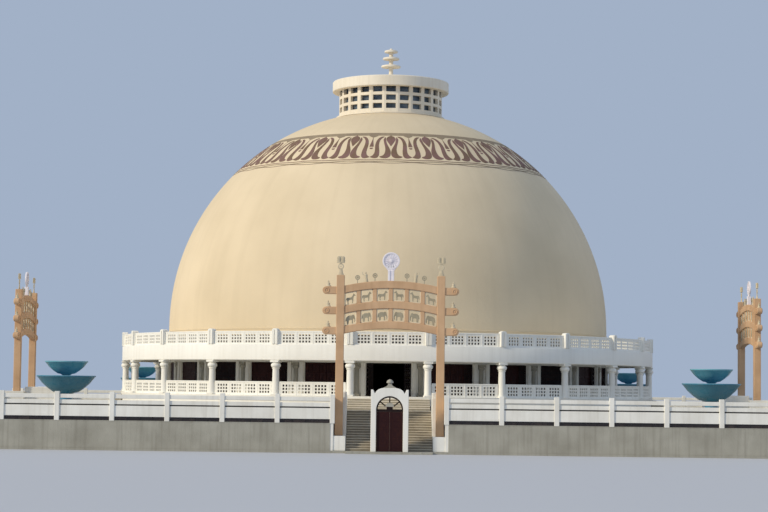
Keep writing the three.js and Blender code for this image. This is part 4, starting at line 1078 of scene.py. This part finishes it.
def guardian(lean):
    """A standing figure with one arm raised to its side."""
    bm = figure(STANDING, 0.74, 0.9, 0.085)
    bar(bm, (0.07 * lean, 0.5), (0.22 * lean, 0.61), 0.06, 0.06)
    bar(bm, (0.22 * lean, 0.59), (0.19 * lean, 0.76), 0.05, 0.05)
    return placed(bm, rolled(GUARDIAN_LEAN * lean, "Y"))


def disc(radius, half_thick, sides):
    return turned([(0, -half_thick), (radius, -half_thick), (radius, half_thick), (0, half_thick)], sides)


def small_wheel():
    """A ring with a hub and spokes on a stem."""
    rim = turned([(0.12, -0.03), (0.17, -0.03), (0.17, 0.03), (0.12, 0.03)], RING_SIDES)
    joined(rim, disc(0.05, 0.03, 10))
    for _ in range(4):
        block(rim, 0.14, 0.015, 0.015, 0)
        placed(rim, rolled(45, "Z"))
    bm = bmesh.new()
    bar(bm, (0, -0.05), (0, 0.24), 0.05, 0.05)
    joined(bm, rim, moved(0, 0, 0.4) @ FACING)
    return bm


# %% Torana: crowns, and the pieces on the beams
CROWN_FLATNESS = 0.32
TOP_BEAM = BEAM_LEVELS[2] + BEAM_HALF


def crown():
    """The crown of a pillar, flattened: a bell, an upright ring, a slab and a cluster of buds."""
    bm = turned([(0, 0), (0.21, 0), (0.2, 0.07), (0.15, 0.17), (0.11, 0.4), (0, 0.4)], 16)
    ring = turned([(0.12, -0.07), (0.15, -0.09), (0.2, -0.07), (0.215, 0), (0.2, 0.07), (0.15, 0.09), (0.12, 0.07)],
                  RING_SIDES)
    joined(ring, disc(0.06, 0.05, 10))
    joined(bm, ring, moved(0, 0, 0.6) @ FACING)
    block(bm, 0.05, 0.05, (0.73, 0.87), 0.01)
    block(bm, 0.28, 0.24, (0.84, 0.91), 0.02)
    for x, y in ((-0.15, -0.12), (0.15, -0.12), (-0.15, 0.12), (0.15, 0.12), (0, 0)):
        bud = turned([(0, 0), (0.11, 0), (0.14, 0.1), (0.11, 0.18), (0.135, 0.26), (0.11, 0.35), (0.04, 0.41),
                      (0, 0.41)], 12)
        joined(bm, bud, moved(x, y, 0.9))
    return placed(bm, stretched(1, CROWN_FLATNESS, 1))


ornaments, small_wheels = bmesh.new(), bmesh.new()
for side in (-1, 1):
    joined(ornaments, guardian(side), moved(side * 1.68, 0, TOP_BEAM + arch(1.68) - 0.03))
    joined(ornaments, crown(), moved(side * PILLAR_AT, 0, PILLAR_TOP))
    for x in (1.1, 2.3):
        joined(small_wheels, small_wheel(), moved(side * x, 0, TOP_BEAM + arch(x)))
    for level in BEAM_LEVELS:
        joined(ornaments, figure(SEATED, 0.44, 0.81, 0.13), moved(side * 4.3, 0, level + BEAM_HALF - 0.01))
finished("torana_figures", at_sides(ornaments, 0, TORANA_LINE), figure_stone)
finished("torana_small_wheels", at_sides(small_wheels, 0, TORANA_LINE), carved_stone)

# %% [markdown]
# The wheel over the middle is painted a cool white. Its rim, hub and sixteen spokes stand proud of a thin
# web, and a tapering foot carries it down to a grooved stand.

# %% Torana: the wheel
WHEEL_LEVEL, WHEEL_RADIUS, WHEEL_SIDES, SPOKES = 13.17, 0.6, 48, 16
wheel = turned([(-0.1, -0.07), (-0.02, -0.07), (0, -0.05), (0, 0.05), (-0.02, 0.07), (-0.1, 0.07)], WHEEL_SIDES,
               WHEEL_RADIUS)
joined(wheel, disc(0.52, 0.02, WHEEL_SIDES))
joined(wheel, turned([(0, -0.09), (0.08, -0.09), (0.12, -0.06), (0.12, 0.06), (0.08, 0.09), (0, 0.09)], 24))
spoke = bmesh.new()
block(spoke, (0.1, 0.52), 0.016, 0.05, 0)
joined(wheel, ringed(spoke, SPOKES))
placed(wheel, FACING)
joined(wheel, cut_out([(-0.19, -0.72), (0.19, -0.72), (0.5, -0.3), (-0.5, -0.3)], 0.1, 0.02))
stand_foot = TOP_BEAM + arch(0) - 0.02 - WHEEL_LEVEL
for side in (-1, 1):
    block(wheel, (side * 0.045, side * 0.215), 0.15, (stand_foot, -0.66), 0.02)
block(wheel, 0.06, 0.1, (stand_foot, -0.68), 0)
placed(wheel, moved(0, 0, WHEEL_LEVEL))
finished("torana_wheels", at_sides(wheel, 0, TORANA_LINE), wheel_paint)

# %% [markdown]
# The small gate at the foot of the front stair is a plastered frame with a horned shoulder on each side
# and a smooth arch between them. A mound with a turned finial stands on its crown, in bare cement. The cap
# of the finial droops like a mushroom's. A quadratic curve draws the arch from three points, as a mason
# would with a bent lath.

# %% Arch gate: frame
GATE_LINE = -33.05 + 0.225
GATE_DEPTH = 0.448
GATE_HALF, GATE_OPENING = 1.268, 0.912
GATE_SPRING = 2.98
ARCH_STEP = 6  # degrees
FINIAL_SIDES = 24


def bent(start, control, end, steps):
    """Points on a quadratic curve, without its start."""
    start, control, end = Vector(start), Vector(control), Vector(end)
    shares = [i / steps for i in range(1, steps + 1)]
    return [tuple(start.lerp(control, t).lerp(control.lerp(end, t), t)) for t in shares]


shoulder = [(GATE_OPENING, bottom), (GATE_HALF, bottom), (GATE_HALF, 4.33), (1.12, 4.33), (1.06, 4.18), (1.0, 4.06)]
crown_line = bent((1.0, 4.06), (0.85, 4.44), (0.3, 4.44), 14)
opening = half_circle(GATE_OPENING, GATE_SPRING, ARCH_STEP)[::-1]
gate = cut_out(mirrored(shoulder + crown_line) + opening, GATE_DEPTH, 0.02)
finished("arch_gate", placed(gate, moved(0, GATE_LINE, 0)), wall_paint, ["arch_gate_frame"])

finial = turned([
    (0, 4.62), (0.13, 4.62), (0.13, 4.7), (0.12, 4.78), (0.12, 4.85), (0.17, 4.8), (0.22, 4.77), (0.235, 4.81),
    (0.22, 4.88), (0.16, 4.96), (0.08, 5.01), (0, 5.028),
], FINIAL_SIDES)
joined(finial, cut_out(mirrored([
    (0.56, 4.3), (0.5, 4.4), (0.44, 4.45), (0.35, 4.5), (0.25, 4.55), (0.17, 4.61), (0.13, 4.68), (0.12, 4.76),
]), 0.3, 0.015))
finished("gate_finial", placed(finial, moved(0, GATE_LINE, 0)), cement_plaster)

# %% [markdown]
# The fanlight over the leaves is fixed and open: a dark rim, three bars that run out from a pale
# half-round hub, a block under the hub, and a transom. A lip under the transom, between the hinge pins,
# comes down to just over the leaves.

# %% Arch gate: fanlight
FANLIGHT_LINE = -32.88
RIM = 0.1
HUB_RISE, HUB_RADIUS = 0.19, 0.29
rim_outer = GATE_OPENING - 0.004
fanlight = cut_out(half_circle(rim_outer, 0, ARCH_STEP) + half_circle(GATE_OPENING - RIM, 0, ARCH_STEP)[::-1],
                   0.08, 0.008)
block(fanlight, rim_outer, 0.04, (-0.118, 0.02), 0.01)
block(fanlight, 0.8, 0.03, (-0.134, -0.1), 0.005)
block(fanlight, 0.21, (-0.045, 0.04), (0, HUB_RISE), 0.01)
for angle in (40, 90, 140):
    across, up = math.cos(math.radians(angle)), math.sin(math.radians(angle))
    bar(fanlight, (0.38 * across, 0.38 * up), (0.86 * across, 0.86 * up), 0.085, 0.06)
hub = cut_out(half_circle(HUB_RADIUS, HUB_RISE, ARCH_STEP), 0.07, 0.015)
fanlight_place = moved(0, FANLIGHT_LINE, GATE_SPRING)
finished("gate_fanlight", placed(fanlight, fanlight_place), dark_paint, ["arch_gate_fanlight"])
finished("gate_fanlight_hub", placed(hub, fanlight_place), cement_plaster)

# %% [markdown]
# Each leaf is boarded and has stiles, ledges and a smooth meeting strip, planted on its face. The
# dressing stands 12 mm proud at real size, which clears the jamb when the leaf stands open. It rides on
# its own leaf, so it swings with it.

# %% Arch gate: dressing of the leaves
LEAF_FACE = -32.91
PROUD = 0.012
LEDGE_LEVELS = [(0.2, 0.34), (0.98, 1.08), (1.62, 1.72), (2.2, 2.3), (2.7, 2.82)]
dressing = (LEAF_FACE - PROUD, LEAF_FACE + 0.01)
panel_face = (LEAF_FACE - PROUD * 0.7, LEAF_FACE + 0.01)
for leaf, side in (("left", -1), ("right", 1)):
    ledges, strip = bmesh.new(), bmesh.new()
    block(ledges, (side * 0.866, side * 0.78), dressing, (0.2, 2.82), 0.005)
    for levels in LEDGE_LEVELS:
        block(ledges, (side * 0.78, side * 0.16), dressing, levels, 0.005)
    for (_, low), (high, _) in zip(LEDGE_LEVELS, LEDGE_LEVELS[1:]):
        block(ledges, (side * 0.72, side * 0.22), panel_face, (low + 0.07, high - 0.07), 0.006)
    block(strip, (side * 0.003, side * 0.15), dressing, (0.18, 2.83), 0.005)
    finished(f"{leaf}_leaf_ledges", ledges, door_paint, body=f"{leaf}_leaf")
    finished(f"{leaf}_leaf_strip", strip, door_paint, body=f"{leaf}_leaf")

# %% [markdown]
# The fountains are pairs of cast bowls, painted turquoise, one above the other on a stem. The rim of each
# bowl is rounded and painted paler.

# %% Fountains
FOUNTAIN_AT = (23.3, -23.3)
BOWL_SIDES = 64
LOWER_BOWL = [
    (0, 2.831), (0.5, 2.831), (0.46, 2.95), (0.46, 3.72), (0.6, 3.78), (0.9, 3.85), (1.3, 4.12), (1.72, 4.5),
    (2.05, 4.92), (2.12, 4.96), (2.12, 5.03), (2.05, 5.03), (1.66, 4.56), (1.25, 4.2), (0.85, 3.98), (0.35, 3.92),
    (0.27, 4.1), (0.25, 5.02), (0, 5.02),
]
UPPER_BOWL = [
    (0, 5.0), (0.22, 5.0), (0.4, 5.14), (0.62, 5.18), (0.95, 5.4), (1.25, 5.66), (1.49, 5.97), (1.54, 6.0),
    (1.54, 6.07), (1.48, 6.07), (1.2, 5.7), (0.9, 5.46), (0.55, 5.26), (0.12, 5.22), (0.1, 5.5), (0.05, 5.52),
    (0, 5.52),
]
LOWER_RIM = [(2.06, 4.97), (2.1, 4.955), (2.118, 4.965), (2.118, 5.03), (2.1, 5.04), (2.05, 5.04), (2.04, 5.02)]
UPPER_RIM = [(1.49, 6.0), (1.52, 5.985), (1.538, 5.995), (1.538, 6.07), (1.52, 6.08), (1.48, 6.08), (1.47, 6.06)]
rims = turned(LOWER_RIM, BOWL_SIDES)
joined(rims, turned(UPPER_RIM, BOWL_SIDES))
for name, bm, finish, stand_in in (
    ("fountain_lower_bowls", turned(LOWER_BOWL, BOWL_SIDES), bowl_enamel, each(CORNERS, "fountain")),
    ("fountain_upper_bowls", turned(UPPER_BOWL, BOWL_SIDES), lit_upper_bowl_enamel, ()),
    ("fountain_rims", rims, rim_enamel, ()),
):
    finished(name, at_sides(bm, *FOUNTAIN_AT), finish, stand_in)

# %% [markdown]
# Floor, sky and light. The floor is plain and pale. A low sun comes from the left, as it does in the
# picture, but with soft-edged shadows, and a pale blue surround fills the shade.

# %% Floor and light
FLOOR_RADIUS, FLOOR_SIDES = 400, 96
SUN_AZIMUTH, SUN_HEIGHT = -62, 27

floor_mesh = bmesh.new()
bmesh.ops.create_circle(floor_mesh, cap_ends=True, segments=FLOOR_SIDES, radius=FLOOR_RADIUS)
floor = stood("floor", bpy.data.meshes.new("floor"))
floor_mesh.to_mesh(floor.data)
floor_mesh.free()
floor.location.z = -0.002
floor_paint = bpy.data.materials.new("pale_floor")
floor_paint.use_nodes = True
floor_shader = floor_paint.node_tree.nodes["Principled BSDF"]
floor_shader.inputs["Base Color"].default_value = colour("#C6C8CD")
floor_shader.inputs["Roughness"].default_value = 0.9
floor.data.materials.append(floor_paint)

sun = stood("sun", bpy.data.lights.new("sun", "SUN"))
sun.data.energy = 2.5
sun.data.angle = math.radians(6)
sun.data.color = colour("#FFF2D8")[:3]
sun.rotation_euler = (math.radians(90 - SUN_HEIGHT), 0, math.radians(SUN_AZIMUTH))

world = bpy.data.worlds.new("surround")
world.use_nodes = True
world.node_tree.nodes["Background"].inputs[0].default_value = colour("#A2B1C7")
world.node_tree.nodes["Background"].inputs[1].default_value = 1.0
bpy.context.scene.world = world
print("sun", SUN_AZIMUTH, "degrees from the front and", SUN_HEIGHT, "degrees high")
